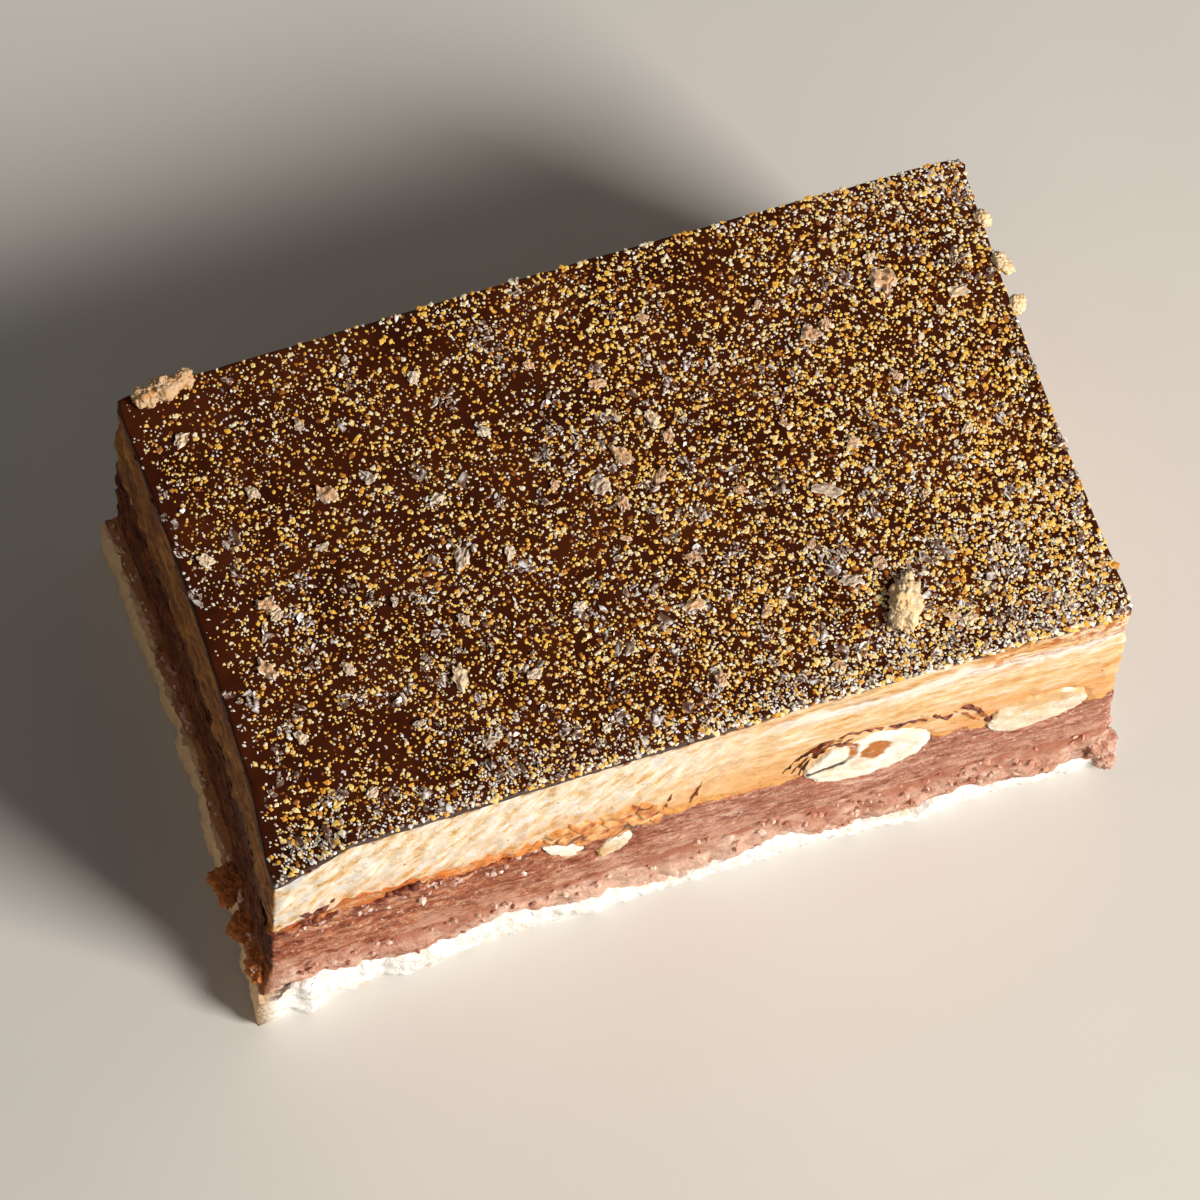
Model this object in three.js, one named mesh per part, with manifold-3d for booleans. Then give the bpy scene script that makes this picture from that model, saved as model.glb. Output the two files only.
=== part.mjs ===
// A slice of layered hazelnut chocolate cake, cut on all four sides, standing on its sponge base.
// Units are millimetres, +Z is up, +X runs along the long side and -Y is the front cut face.
import * as THREE from "three";
import { mergeVertices } from "three/addons/utils/BufferGeometryUtils.js";
import Module from "manifold-3d";

const wasm = await Module();
wasm.setup();

// The slice as a whole.
const LENGTH = 92;
const WIDTH = 53.5;
const HEIGHT = 41;
const LEAN = 0.6; // how much further out each cut face stands at its foot than at the glaze
const BOW = { front: 0.5, back: 0.4, left: 0.8, right: 0.6 }; // middles of the cut faces, drawn in or out

// The layers at the slice's middle, from the bottom up.
const BASE_THICK = 4;
const CRISP_THICK = 6;
const MOUSSE_THICK = 10.8;
const CARAMEL_THICK = 2;
const GLAZE_THICK = 1.1;
const GAP = 0.3; // left between neighbouring solids

// How uneven the layers are. A slope is what a layer gains from the middle to the left end.
const BASE_SLOPE = 1.6;
const MOUSSE_SLOPE = 1.9;
const CARAMEL_SLOPE = 0.9;
const MOUSSE_WAVE = { height: 0.6, along: 7.3, across: 2.9, shift: 0.6 };
const CARAMEL_WAVE = { height: 0.3, along: 11, across: 4, shift: 0 };
const BASE_REACH = 0.6; // how far the crumbled edge of the base stands proud
const LEFT_REACH = 0.8; // what it gains along the left end
const FOOT = { reach: 0.6, along: 0.25, across: 0.5 }; // and at the front left corner, and how far that goes
const FOOT_LOBES = [
  { at: -41.5, reach: 1.3, half: 4.2 },
  { at: -29, reach: 1.3, half: 2.6 },
  { at: -11.5, reach: 0.8, half: 2.6 },
  { at: 24, reach: 0.6, half: 5 },
]; // lobes in which it runs out along the front
const CRISP_REACH = 0.9;
const CRUMB_PITCH = 2.1; // spacing of the broken points along a crumbled edge
const BASE_LEAST = 0.6; // share of its reach that the edge of the base keeps everywhere
const CRISP_LEAST = 0.15; // and that of the crisp
const CRUMB_BELLY = 0.4; // how far a crumbled edge swells halfway up
const SMEAR_REACH = 0.3; // knife marks in mousse, caramel and cream
const CORNER_DROOP = 5.5; // how far the glaze sinks at the front left corner
const CORNER_SPAN = 0.17; // share of the half length that the sunk corner takes
const MOUSSE_GIVE = 0.35; // share of the droop by which the mousse gives way
const CARAMEL_GIVE = 0.36; // and the caramel

// Grid of each layer's faces.
const CELLS_X = 20;
const CELLS_Y = 12;
const CUT_FACE = 0.999; // from here out a point belongs to a cut face

// Wafer flakes that lie on the glaze. The larger ones have their own places and half sizes,
// and the small ones between them are spread by a low-discrepancy rule.
const LARGE_FLAKES = [
  { at: [33.8, 15.8], half: [1.8, 1.4], turn: -0.9 },
  { at: [20.2, -4.7], half: [2.2, 0.85], turn: -0.55 },
  { at: [40.8, 12.3], half: [1.25, 0.9], turn: 0 },
  { at: [24.5, 12.3], half: [1.3, 1], turn: -0.6 },
  { at: [1.6, 5.1], half: [1.5, 0.7], turn: -1 },
  { at: [-1.7, 2.4], half: [1.2, 0.95], turn: 0.75 },
  { at: [5.8, 8.3], half: [1.1, 0.7], turn: -1.15 },
  { at: [4.7, 1.8], half: [1.2, 0.6], turn: 1 },
  { at: [3.4, -12.8], half: [1.3, 0.8], turn: 0.15 },
  { at: [19.4, -15.1], half: [1.2, 0.7], turn: -0.1 },
  { at: [29.6, -22.7], half: [1.1, 0.8], turn: 0.2 },
  { at: [-28.6, 10.1], half: [1.4, 0.95], turn: -0.85 },
  { at: [-38, 0.2], half: [1.3, 1.1], turn: -0.3 },
  { at: [-17.6, -0.9], half: [1.5, 0.9], turn: 1.1 },
  { at: [-21.9, -13.3], half: [1.5, 1], turn: -1.5 },
  { at: [-40.2, -6.6], half: [1.5, 1], turn: -1 },
];
const SMALL_FLAKES = 52;
const FLAKE_LONG = 1.05; // half length of the largest small flake
const FLAKE_SHORT = 0.6; // half length of the smallest one
const FLAKE_BROAD = 0.7; // width as a share of length
const FLAKE_FLAT = 0.5; // thickness as a share of width
const FLAKE_MARGIN = 2.6; // kept free along the glaze's edges
const FLAKE_SPREAD = { x: 0.7548776662, y: 0.569840291, turn: 0.6180339887 };

const COLOURS = {
  base: { color: 0xf1e2c6, roughness: 0.9 },
  crisp: { color: 0xa9765a, roughness: 0.8 },
  mousse: { color: 0x7d4c3c, roughness: 0.6 },
  caramel: { color: 0xb4672c, roughness: 0.4 },
  cream: { color: 0xe3b67f, roughness: 0.55 },
  glaze: { color: 0x2c140c, roughness: 0.15 },
  nut: { color: 0xf2e2ba, roughness: 0.6 },
};

// A repeatable number from 0 to 1 for a pair of whole numbers.
function hash(i, j) {
  let h = Math.imul(i, 374761393) ^ Math.imul(j, 668265263);
  h = Math.imul(h ^ (h >>> 13), 1274126177);
  return ((h ^ (h >>> 16)) >>> 0) / 4294967296;
}

// The geometry with only its positions left and its shared vertices merged.
function merged(geometry) {
  const bare = new THREE.BufferGeometry();
  bare.setAttribute("position", geometry.getAttribute("position"));
  bare.setIndex(geometry.index);
  return mergeVertices(bare, 1e-4);
}

function toSolid(geometry) {
  const shared = merged(geometry);
  const mesh = new wasm.Mesh({
    numProp: 3,
    vertProperties: shared.getAttribute("position").array,
    triVerts: new Uint32Array(shared.index.array),
  });
  return new wasm.Manifold(mesh);
}

function toGeometry(solid) {
  const mesh = solid.getMesh();
  const geometry = new THREE.BufferGeometry();
  geometry.setAttribute("position", new THREE.BufferAttribute(mesh.vertProperties, 3));
  geometry.setIndex(new THREE.BufferAttribute(mesh.triVerts, 1));
  geometry.computeVertexNormals();
  return geometry;
}

// Surfaces between the layers. u and v run from -1 to 1 across the slice.
const ripple = (u, v, { height, along, across, shift }) =>
  height * Math.sin(along * u + shift) * Math.cos(across * v + shift);

// How far the glaze is dragged down at the front left corner.
function cornerDroop(u, v) {
  const along = Math.max(0, 1 - (u + 1) / CORNER_SPAN);
  const across = Math.max(0, 1 - (v + 1) / (CORNER_SPAN * (LENGTH / WIDTH)));
  return CORNER_DROOP * along * across;
}

const tableTop = () => 0;
const crispFloor = (u) => BASE_THICK - BASE_SLOPE * u;
const mousseFloor = () => BASE_THICK + CRISP_THICK;

function caramelFloor(u, v) {
  const mousse = MOUSSE_THICK - MOUSSE_SLOPE * u + ripple(u, v, MOUSSE_WAVE);
  return mousseFloor() + mousse - MOUSSE_GIVE * cornerDroop(u, v);
}

function creamFloor(u, v) {
  const caramel = CARAMEL_THICK - CARAMEL_SLOPE * u + ripple(u, v, CARAMEL_WAVE);
  return caramelFloor(u, v) + caramel - CARAMEL_GIVE * cornerDroop(u, v);
}

const glazeFloor = (u, v) => HEIGHT - GLAZE_THICK - cornerDroop(u, v);
const glazeRoof = (u, v) => HEIGHT - cornerDroop(u, v);

// How far a smooth layer's cut face stands proud, by its place round the slice.
const smearedReach = (seed) => (column, row, level) =>
  SMEAR_REACH * (hash(level, seed) + hash(column + seed, row) - 1);

// Where a point of the slice lies at height z, with its cut face moved out by reach.
function place(u, v, z, reach) {
  const lean = LEAN * (1 - z / HEIGHT);
  const bowX = (u < 0 ? BOW.left : -BOW.right) * Math.abs(u) * (1 - v * v);
  const bowY = (v < 0 ? BOW.front : BOW.back) * Math.abs(v) * (1 - u * u);
  const outX = Math.abs(u) > CUT_FACE ? Math.sign(u) * reach : 0;
  const outY = Math.abs(v) > CUT_FACE ? Math.sign(v) * reach : 0;
  return {
    x: u * (LENGTH / 2 + lean) + bowX + outX,
    y: v * (WIDTH / 2 + lean) + bowY + outY,
  };
}

// One layer: a gridded block whose floor, roof and cut faces follow the functions given.
function layer({ floor, roof, reach, steps }) {
  const block = merged(new THREE.BoxGeometry(2, 2, 1, CELLS_X, CELLS_Y, steps));
  const position = block.getAttribute("position");
  for (let i = 0; i < position.count; i += 1) {
    const u = position.getX(i);
    const v = position.getY(i);
    const rise = position.getZ(i) + 0.5;
    const z = floor(u, v) + rise * (roof(u, v) - floor(u, v));
    const column = Math.round((u + 1) * CELLS_X);
    const row = Math.round((v + 1) * CELLS_Y);
    const spot = place(u, v, z, reach(column, row, Math.round(rise * steps)));
    position.setXYZ(i, spot.x, spot.y, z);
  }
  return toSolid(block);
}

// A crumbly layer: a slab with a broken outline, its edge swollen here and there.
function crumbledSlab({ floor, roof, reach, least, seed }) {
  const outline = new THREE.Shape();
  const corners = [[-1, -1], [1, -1], [1, 1], [-1, 1]];
  const points = corners.flatMap(([u, v], side) => {
    const [nextU, nextV] = corners[(side + 1) % 4];
    const count = Math.round((side % 2 ? WIDTH : LENGTH) / CRUMB_PITCH);
    return Array.from({ length: count }, (_, i) => {
      const edgeU = THREE.MathUtils.lerp(u, nextU, i / count);
      const edgeV = THREE.MathUtils.lerp(v, nextV, i / count);
      const broken = THREE.MathUtils.lerp(least, 1, hash(i + 1, (side + 1) * seed));
      const spot = place(edgeU, edgeV, floor(edgeU, edgeV), reach(edgeU, edgeV) * broken);
      return new THREE.Vector2(spot.x, spot.y);
    });
  });
  outline.setFromPoints(points);
  const slab = merged(new THREE.ExtrudeGeometry(outline, { depth: 1, steps: 2, bevelEnabled: false }));
  const position = slab.getAttribute("position");
  for (let i = 0; i < position.count; i += 1) {
    const x = position.getX(i);
    const y = position.getY(i);
    const rise = position.getZ(i);
    const halfway = Math.abs(rise - 0.5) < 0.25;
    const swell = halfway ? 1 + (CRUMB_BELLY / (LENGTH / 2)) * hash(i, seed) : 1;
    const u = x / (LENGTH / 2);
    const v = y / (WIDTH / 2);
    position.setXYZ(i, x * swell, y * swell, THREE.MathUtils.lerp(floor(u, v), roof(u, v), rise));
  }
  return toSolid(slab);
}

// How far the lobes of the foot run out at a place along the front.
function footLobes(x) {
  const lobes = FOOT_LOBES.map(({ at, reach, half }) => reach * Math.exp(-(((x - at) / half) ** 2)));
  return lobes.reduce((sum, lobe) => sum + lobe, 0);
}

// The base stands out at the left end, in lobes along the front and most at the corner between them.
function baseReach(u, v) {
  const away = Math.hypot((u + 1) / FOOT.along, (v + 1) / FOOT.across);
  const corner = FOOT.reach * Math.max(0, 1 - away);
  const left = u < -CUT_FACE ? LEFT_REACH : 0;
  const front = v < -CUT_FACE ? footLobes((u * LENGTH) / 2) : 0;
  return BASE_REACH + corner + Math.max(left, front);
}

const crispReach = () => CRISP_REACH;

// The same surface, moved up or down by half the gap between neighbours.
const above = (surface) => (u, v) => surface(u, v) + GAP / 2;
const below = (surface) => (u, v) => surface(u, v) - GAP / 2;

// A lump of broken cake or crisp: a ball of flat facets, stretched and knocked out of round.
function lump({ at, half, turn = 0, detail = 0, rough = 0.25, seed = 1 }) {
  const ball = merged(new THREE.IcosahedronGeometry(1, detail));
  const position = ball.getAttribute("position");
  const corner = new THREE.Vector3();
  for (let i = 0; i < position.count; i += 1) {
    corner.fromBufferAttribute(position, i).multiplyScalar(1 - rough * hash(i + 1, seed));
    position.setXYZ(i, corner.x, corner.y, corner.z);
  }
  ball.scale(...half).rotateZ(turn).translate(...at);
  return toSolid(ball);
}

// Where small flake number n lies on the glaze, how large it is and how it is turned.
function smallFlake(n) {
  const share = (step) => (0.5 + n * step) % 1;
  const size = THREE.MathUtils.lerp(FLAKE_LONG, FLAKE_SHORT, n / SMALL_FLAKES);
  return {
    at: [
      (share(FLAKE_SPREAD.x) - 0.5) * (LENGTH - 2 * FLAKE_MARGIN),
      (share(FLAKE_SPREAD.y) - 0.5) * (WIDTH - 2 * FLAKE_MARGIN),
    ],
    half: [size, size * FLAKE_BROAD],
    turn: share(FLAKE_SPREAD.turn) * Math.PI,
  };
}

// A flake as a lump that is half sunk in the glaze.
function flakeLump({ at, half: [long, broad], turn }, n) {
  return lump({ at: [...at, HEIGHT], half: [long, broad, broad * FLAKE_FLAT], turn, seed: n + 7 });
}

// Crumbs large enough to show in the slice's outline. They touch only the layer that they lie on.
const TOP_CRUMB = {
  at: [23.9, -19.2, HEIGHT + 0.7],
  half: [1.7, 3.5, 1.8],
  turn: -0.36,
  detail: 1,
  seed: 3,
};
const BACK_CRUMBS = [
  { at: [-43, 25.8, HEIGHT + 0.3], half: [1.6, 1.4, 1.3], detail: 1, seed: 4 },
  { at: [-41, 26.2, HEIGHT + 0.4], half: [1.8, 1.5, 1.5], detail: 1, seed: 5 },
  { at: [-38.9, 26.7, HEIGHT + 0.2], half: [1.6, 1.2, 1.2], detail: 1, seed: 6 },
];
const RIGHT_CRUMBS = [19.4, 14, 9.3].map((y, i) => ({
  at: [45.7, y, HEIGHT - GLAZE_THICK / 2 + 0.3],
  half: [1.4, 1.6, 0.8],
  seed: 11 + i,
}));
const LEFT_CRUMBS = [
  { at: [-47.1, -15.6, 8], half: [2.4, 2.6, 1.9], detail: 1, seed: 21 },
  { at: [-47, -20.5, 7.7], half: [2, 2.2, 1.7], detail: 1, seed: 22 },
  { at: [-46.5, -25, 7.7], half: [2, 2.2, 2], detail: 1, seed: 23 },
];
const CORNER_CRUMBS = [
  { at: [45.4, -24.7, 6.9], half: [2.2, 2.4, 2.9], detail: 1, seed: 31 },
  { at: [46.1, -27.1, 4.8], half: [2.4, 1.8, 2.2], detail: 1, seed: 32 },
];

// Hazelnuts that the knife cut through. face names the cut side, at is the place along it and the height,
// half is the kernel's half width, half height and half depth, sunk is how far its middle lies inside,
// tilt turns it in the face, and split gives it the parting line between the halves of a kernel.
const NUTS = [
  { name: "front_large", face: "front", at: [18.8, 20.7], half: [7.5, 5.6, 6.6], sunk: 1.6, split: true },
  { name: "front_pale", face: "front", at: [37.5, 20.3], half: [6.7, 5, 5.4], sunk: 2.4 },
  { name: "chip_left", face: "front", at: [-14.5, 19.9], half: [3.4, 1.6, 2.2], sunk: 0.5, tilt: 0.9 },
  { name: "chip_middle", face: "front", at: [-8.8, 17], half: [3.3, 1.8, 2], sunk: 0.5, tilt: -1.1 },
  { name: "back_large", face: "back", at: [-17, 22.6], half: [6.9, 6, 6.2], sunk: 2, split: true },
  { name: "back_chip", face: "back", at: [14, 20.4], half: [2.4, 1.8, 2.2], sunk: 0.5 },
  { name: "right", face: "right", at: [4, 18.9], half: [6.4, 5.6, 6], sunk: 2.2, split: true },
];
const NUT_PROUD = 0.25; // a cut nut stands this far out of the face
const NUT_POINT = 0.16; // how much a kernel draws out towards its tip
const NUT_SIDES = 16;
const NUT_RINGS = 10;

// The groove of a parting line. Its length is a share of the kernel's half width.
const SPLIT = { wide: 0.9, deep: 1.6, share: 1.3, tilt: 0.35 };

// The turn that brings the front to a nut's cut face, how far out that face lies at the nut's height,
// and the nut's place along it before that turn.
function cutFace({ face, at: [along, height] }) {
  const lean = LEAN * (1 - height / HEIGHT);
  const faces = {
    front: { turn: 0, along, level: WIDTH / 2 + lean - BOW.front },
    back: { turn: Math.PI, along: -along, level: WIDTH / 2 + lean + BOW.back },
    right: { turn: Math.PI / 2, along, level: LENGTH / 2 + lean - BOW.right },
  };
  return { ...faces[face], height };
}

// A whole kernel in its own place, grown by clear for the hollow that it sits in.
function kernel(nut, clear = 0) {
  const { turn, along, level, height } = cutFace(nut);
  const ball = merged(new THREE.SphereGeometry(1, NUT_SIDES, NUT_RINGS));
  const position = ball.getAttribute("position");
  for (let i = 0; i < position.count; i += 1) {
    const narrow = 1 - NUT_POINT * Math.max(0, position.getX(i));
    position.setY(i, position.getY(i) * narrow);
    position.setZ(i, position.getZ(i) * narrow);
  }
  const [wide, high, deep] = nut.half.map((half) => half + clear);
  ball.scale(wide, deep, high).rotateY(nut.tilt ?? 0);
  ball.translate(along, nut.sunk - level, height).rotateZ(turn);
  return toSolid(ball);
}

// The kernel as the knife left it, flat where it meets the cut face and parted if it is split.
function cutKernel(nut) {
  const { turn, along, level, height } = cutFace(nut);
  const knife = new THREE.BoxGeometry(LENGTH * 2, LENGTH, HEIGHT * 2);
  knife.translate(0, -level - NUT_PROUD - LENGTH / 2, 0).rotateZ(turn);
  const cut = kernel(nut).subtract(toSolid(knife));
  if (!nut.split) {
    return cut;
  }
  const groove = new THREE.BoxGeometry(nut.half[0] * SPLIT.share, SPLIT.deep * 2, SPLIT.wide);
  groove.rotateY(SPLIT.tilt).translate(along, -level - NUT_PROUD, height).rotateZ(turn);
  return cut.subtract(toSolid(groove));
}

const union = (first, others) => others.reduce((sum, next) => sum.add(next), first);
const hollowedForNuts = (solid) => NUTS.reduce((left, nut) => left.subtract(kernel(nut, GAP)), solid);

function baseSponge() {
  const bounds = { floor: tableTop, roof: below(crispFloor) };
  return crumbledSlab({ ...bounds, reach: baseReach, least: BASE_LEAST, seed: 5 });
}

function pralineCrisp() {
  const bounds = { floor: above(crispFloor), roof: below(mousseFloor) };
  const slab = crumbledSlab({ ...bounds, reach: crispReach, least: CRISP_LEAST, seed: 9 });
  return union(slab, [...LEFT_CRUMBS, ...CORNER_CRUMBS].map(lump));
}

function chocolateMousse() {
  const reach = smearedReach(2);
  return hollowedForNuts(layer({ floor: above(mousseFloor), roof: below(caramelFloor), reach, steps: 3 }));
}

function nutCaramel() {
  const reach = smearedReach(4);
  return hollowedForNuts(layer({ floor: above(caramelFloor), roof: below(creamFloor), reach, steps: 1 }));
}

function hazelnutCream() {
  const reach = smearedReach(6);
  return hollowedForNuts(layer({ floor: above(creamFloor), roof: below(glazeFloor), reach, steps: 3 }));
}

function chocolateGlaze() {
  const slab = layer({ floor: above(glazeFloor), roof: glazeRoof, reach: smearedReach(8), steps: 1 });
  const crumbs = [TOP_CRUMB, ...BACK_CRUMBS, ...RIGHT_CRUMBS].map(lump);
  const flakes = [...LARGE_FLAKES, ...Array.from({ length: SMALL_FLAKES }, (_, n) => smallFlake(n))];
  return union(slab, [...crumbs, ...flakes.map(flakeLump)]);
}

function piece(name, solid, look) {
  const mesh = new THREE.Mesh(toGeometry(solid), new THREE.MeshStandardMaterial(look));
  mesh.name = name;
  return mesh;
}

const cake = new THREE.Group();
cake.name = "hazelnut_chocolate_cake";
cake.add(piece("base_sponge", baseSponge(), COLOURS.base));
cake.add(piece("praline_crisp", pralineCrisp(), COLOURS.crisp));
cake.add(piece("chocolate_mousse", chocolateMousse(), COLOURS.mousse));
cake.add(piece("nut_caramel", nutCaramel(), COLOURS.caramel));
cake.add(piece("hazelnut_cream", hazelnutCream(), COLOURS.cream));
cake.add(piece("chocolate_glaze", chocolateGlaze(), COLOURS.glaze));
for (const nut of NUTS) {
  cake.add(piece(`hazelnut_${nut.name}`, cutKernel(nut), COLOURS.nut));
}

export default cake;
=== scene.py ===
# %% [markdown]
# # A slice of hazelnut chocolate cake
#
# The slice stands on a pale sponge. Praline crisp, mousse, caramel and cream lie on it, and a dark glaze
# under gold dust closes the top. The solids of the frame give every layer and nut its size and place.
# This lesson dresses them: each layer becomes a fine band of quads that is roughened the way a knife
# leaves it, and the small things on top are scattered as joined meshes.

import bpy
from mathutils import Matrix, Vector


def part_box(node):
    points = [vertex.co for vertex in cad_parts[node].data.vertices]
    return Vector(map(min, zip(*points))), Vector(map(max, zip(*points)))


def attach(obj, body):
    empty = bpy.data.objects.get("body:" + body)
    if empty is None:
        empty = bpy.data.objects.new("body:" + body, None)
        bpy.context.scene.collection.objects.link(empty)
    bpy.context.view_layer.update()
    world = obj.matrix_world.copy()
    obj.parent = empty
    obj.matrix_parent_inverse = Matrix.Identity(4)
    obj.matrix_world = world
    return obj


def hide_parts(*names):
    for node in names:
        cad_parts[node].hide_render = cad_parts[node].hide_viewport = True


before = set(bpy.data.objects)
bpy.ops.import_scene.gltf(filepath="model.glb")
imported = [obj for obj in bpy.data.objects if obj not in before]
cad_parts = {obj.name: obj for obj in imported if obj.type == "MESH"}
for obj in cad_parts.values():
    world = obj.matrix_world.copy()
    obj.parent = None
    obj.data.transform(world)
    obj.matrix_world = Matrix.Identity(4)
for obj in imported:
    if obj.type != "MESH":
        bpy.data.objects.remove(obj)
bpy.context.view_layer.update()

# %% Modules for the lesson
import math
from dataclasses import dataclass
from functools import reduce

import bmesh
import bpy
import numpy as np
from mathutils import Color, Quaternion, Vector, noise
from mathutils.bvhtree import BVHTree

MM = 0.001

# %% [markdown]
# ## The shape of the slice
#
# A knife cut the slice on four sides. Its faces lean out a little towards their foot and are bowed, so a
# point is found from two shares, u and v, which run from -1 to 1 across the slice, and from its height.
# The upright edges are a little rounded. The sizes repeat those of the solids, because the frame holds
# meshes and no formulas. The print compares the two.

# %% Sizes of the slice
HALF_LONG = 46 * MM
HALF_WIDE = 26.75 * MM
TOP = 41 * MM
LEAN = 0.6 * MM
BOW = {"front": 0.5 * MM, "back": 0.4 * MM, "left": 0.8 * MM, "right": 0.6 * MM}
ON_FACE = 0.999
ROUNDING = 0.25 * MM
ROUND_SPAN = 2 * MM


def ease(value, low, high):
    """A share that grows from 0 at low to 1 at high."""
    return min(max((value - low) / (high - low), 0), 1)


def rounding(u, v):
    """How far the upright edges are drawn in."""
    along = ease(abs(u), 1 - ROUND_SPAN / HALF_LONG, 1)
    across = ease(abs(v), 1 - ROUND_SPAN / HALF_WIDE, 1)
    return ROUNDING * (along * across) ** 2


def outline(u, v, z):
    """The place of a point of the slice at height z."""
    lean = LEAN * (1 - z / TOP) - rounding(u, v)
    bow_x = (BOW["left"] if u < 0 else -BOW["right"]) * abs(u) * (1 - v * v)
    bow_y = (BOW["front"] if v < 0 else BOW["back"]) * abs(v) * (1 - u * u)
    return Vector((u * (HALF_LONG + lean) + bow_x, v * (HALF_WIDE + lean) + bow_y, z))


def outward(u, v):
    """The direction in which a point of a cut face looks."""
    on_end = math.copysign(1, u) if abs(u) > ON_FACE else 0
    on_side = math.copysign(1, v) if abs(v) > ON_FACE else 0
    return Vector((on_end, on_side, 0)).normalized()


cream_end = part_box("hazelnut_cream")[1].x
print("the cream ends at", round(outline(1, 0, TOP).x, 4), "and its solid at", round(cream_end, 4))

# %% [markdown]
# ## The seams between the layers
#
# No layer is quite level: the base is thicker at the left end, the mousse was spread by hand, and the knife
# dragged the front left corner down. A seam also strays where crumbs were pulled over it. Both layers that
# meet at a seam ask the same function for its height, so no gap can open between them.

# %% Heights of the seams
PRALINE_FLOOR = 4 * MM
MOUSSE_FLOOR = 10 * MM
CARAMEL_FLOOR = 20.8 * MM
CARAMEL_THICK = 2 * MM
GLAZE_THICK = 1.1 * MM
BASE_SLOPE = 1.6 * MM
MOUSSE_SLOPE = 1.9 * MM
CARAMEL_SLOPE = 0.9 * MM
MOUSSE_WAVE = {"height": 0.6 * MM, "along": 7.3, "across": 2.9, "shift": 0.6}
CARAMEL_WAVE = {"height": 0.3 * MM, "along": 11, "across": 4, "shift": 0}
CORNER_DROOP = 5.5 * MM
CORNER_SPAN = 0.17
MOUSSE_GIVE = 0.35
CARAMEL_GIVE = 0.36
STRAY = {
    "praline": {"depth": 0.6 * MM, "key": 11},
    "mousse": {"depth": 1.1 * MM, "key": 23},
    "caramel": {"depth": 0.6 * MM, "key": 37},
    "cream": {"depth": 0.6 * MM, "key": 41},
    "glaze": {"depth": 0.3 * MM, "key": 53},
}
BEND_RATE = 0.3
NICK_RATE = 1.1
NICK_SHARE = 0.7


def bell(distance, width):
    """A round hump: 1 in the middle and nearly 0 at twice its width."""
    return math.exp(-((distance / width) ** 2))


def ripple(u, v, wave):
    """The height of a layer's own waves."""
    turn = math.sin(wave["along"] * u + wave["shift"])
    return wave["height"] * turn * math.cos(wave["across"] * v + wave["shift"])


def stray(u, v, seam):
    """How far a seam wanders up or down, in broad bends and small nicks."""
    spot = outline(u, v, 0) / MM
    spot.z = STRAY[seam]["key"]
    bends = noise.noise(spot * BEND_RATE)
    return STRAY[seam]["depth"] * (bends + NICK_SHARE * noise.noise(spot * NICK_RATE))


def corner_droop(u, v):
    """How far the glaze is dragged down at the front left corner."""
    along = max(0, 1 - (u + 1) / CORNER_SPAN)
    across = max(0, 1 - (v + 1) / (CORNER_SPAN * HALF_LONG / HALF_WIDE))
    return CORNER_DROOP * along * across


print("the glaze sinks by", round(corner_droop(-1, -1) / MM, 1), "mm at the front left corner")

# %% [markdown]
# At the front the sponge rises and sinks in broad humps: a sum of bells, each with its place along the
# front, its height and its half width in millimetres.

# %% Seams as functions
BASE_HUMPS = [
    (-42, 2.2, 5),
    (-20, 3.2, 3.6),
    (-3, -3, 6),
    (10, 2.4, 4),
    (16, -1, 2.5),
    (24, -1.8, 3),
    (30, 1.8, 3),
    (37, -0.8, 3),
    (43, 1, 3.5),
]
BASE_LEAST = 0.8 * MM
FRONT_FADE = 0.1
LIP = {"height": 0.75 * MM, "front": 0.98, "from": 0.08, "to": 0.2}
GLAZE_SWELL = {"height": 0.07 * MM, "rate": 0.12}


def front_bells(x, bells):
    """The sum of bells at a place along the front, in millimetres."""
    return sum(height * bell(x - middle, width) for middle, height, width in bells)


def praline_floor(u, v):
    humps = front_bells(u * HALF_LONG / MM, BASE_HUMPS) * MM * ease(-v, 1 - FRONT_FADE, 1)
    return max(PRALINE_FLOOR - BASE_SLOPE * u + humps + stray(u, v, "praline"), BASE_LEAST)


def mousse_floor(u, v):
    return MOUSSE_FLOOR + stray(u, v, "mousse")


def mousse_top(u, v):
    """The top of the mousse as it was spread."""
    return CARAMEL_FLOOR - MOUSSE_SLOPE * u + ripple(u, v, MOUSSE_WAVE) - MOUSSE_GIVE * corner_droop(u, v)


def caramel_floor(u, v):
    return mousse_top(u, v) + stray(u, v, "caramel")


def cream_floor(u, v):
    caramel = CARAMEL_THICK - CARAMEL_SLOPE * u + ripple(u, v, CARAMEL_WAVE)
    return mousse_top(u, v) + caramel - CARAMEL_GIVE * corner_droop(u, v) + stray(u, v, "cream")


def glaze_floor(u, v):
    """The underside of the glaze, which hangs over the left half of the front in a lip."""
    lip = LIP["height"] * ease(-v, LIP["front"], 1) * ease(u, LIP["to"], LIP["from"])
    return TOP - GLAZE_THICK - lip - corner_droop(u, v) + stray(u, v, "glaze")


def glaze_roof(u, v):
    spot = Vector((u * HALF_LONG, v * HALF_WIDE, 0)) / MM
    return TOP - corner_droop(u, v) + GLAZE_SWELL["height"] * noise.noise(spot * GLAZE_SWELL["rate"])


caramel_levels = [round(caramel_floor(u, -1) / MM, 1) for u in (-1, 0, 1)]
print("the caramel starts at", caramel_levels, "mm along the front")

# %% [markdown]
# ## Seats for the nuts
#
# The knife went through seven hazelnuts, and each shows its cut face in one side of the slice. The layers
# give way round a nut, so that it sits in a shallow hollow instead of drowning in the roughened cream.
# Place and size come from the box of each nut's solid, and the level of the cut from the face that it
# lies in.

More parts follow.
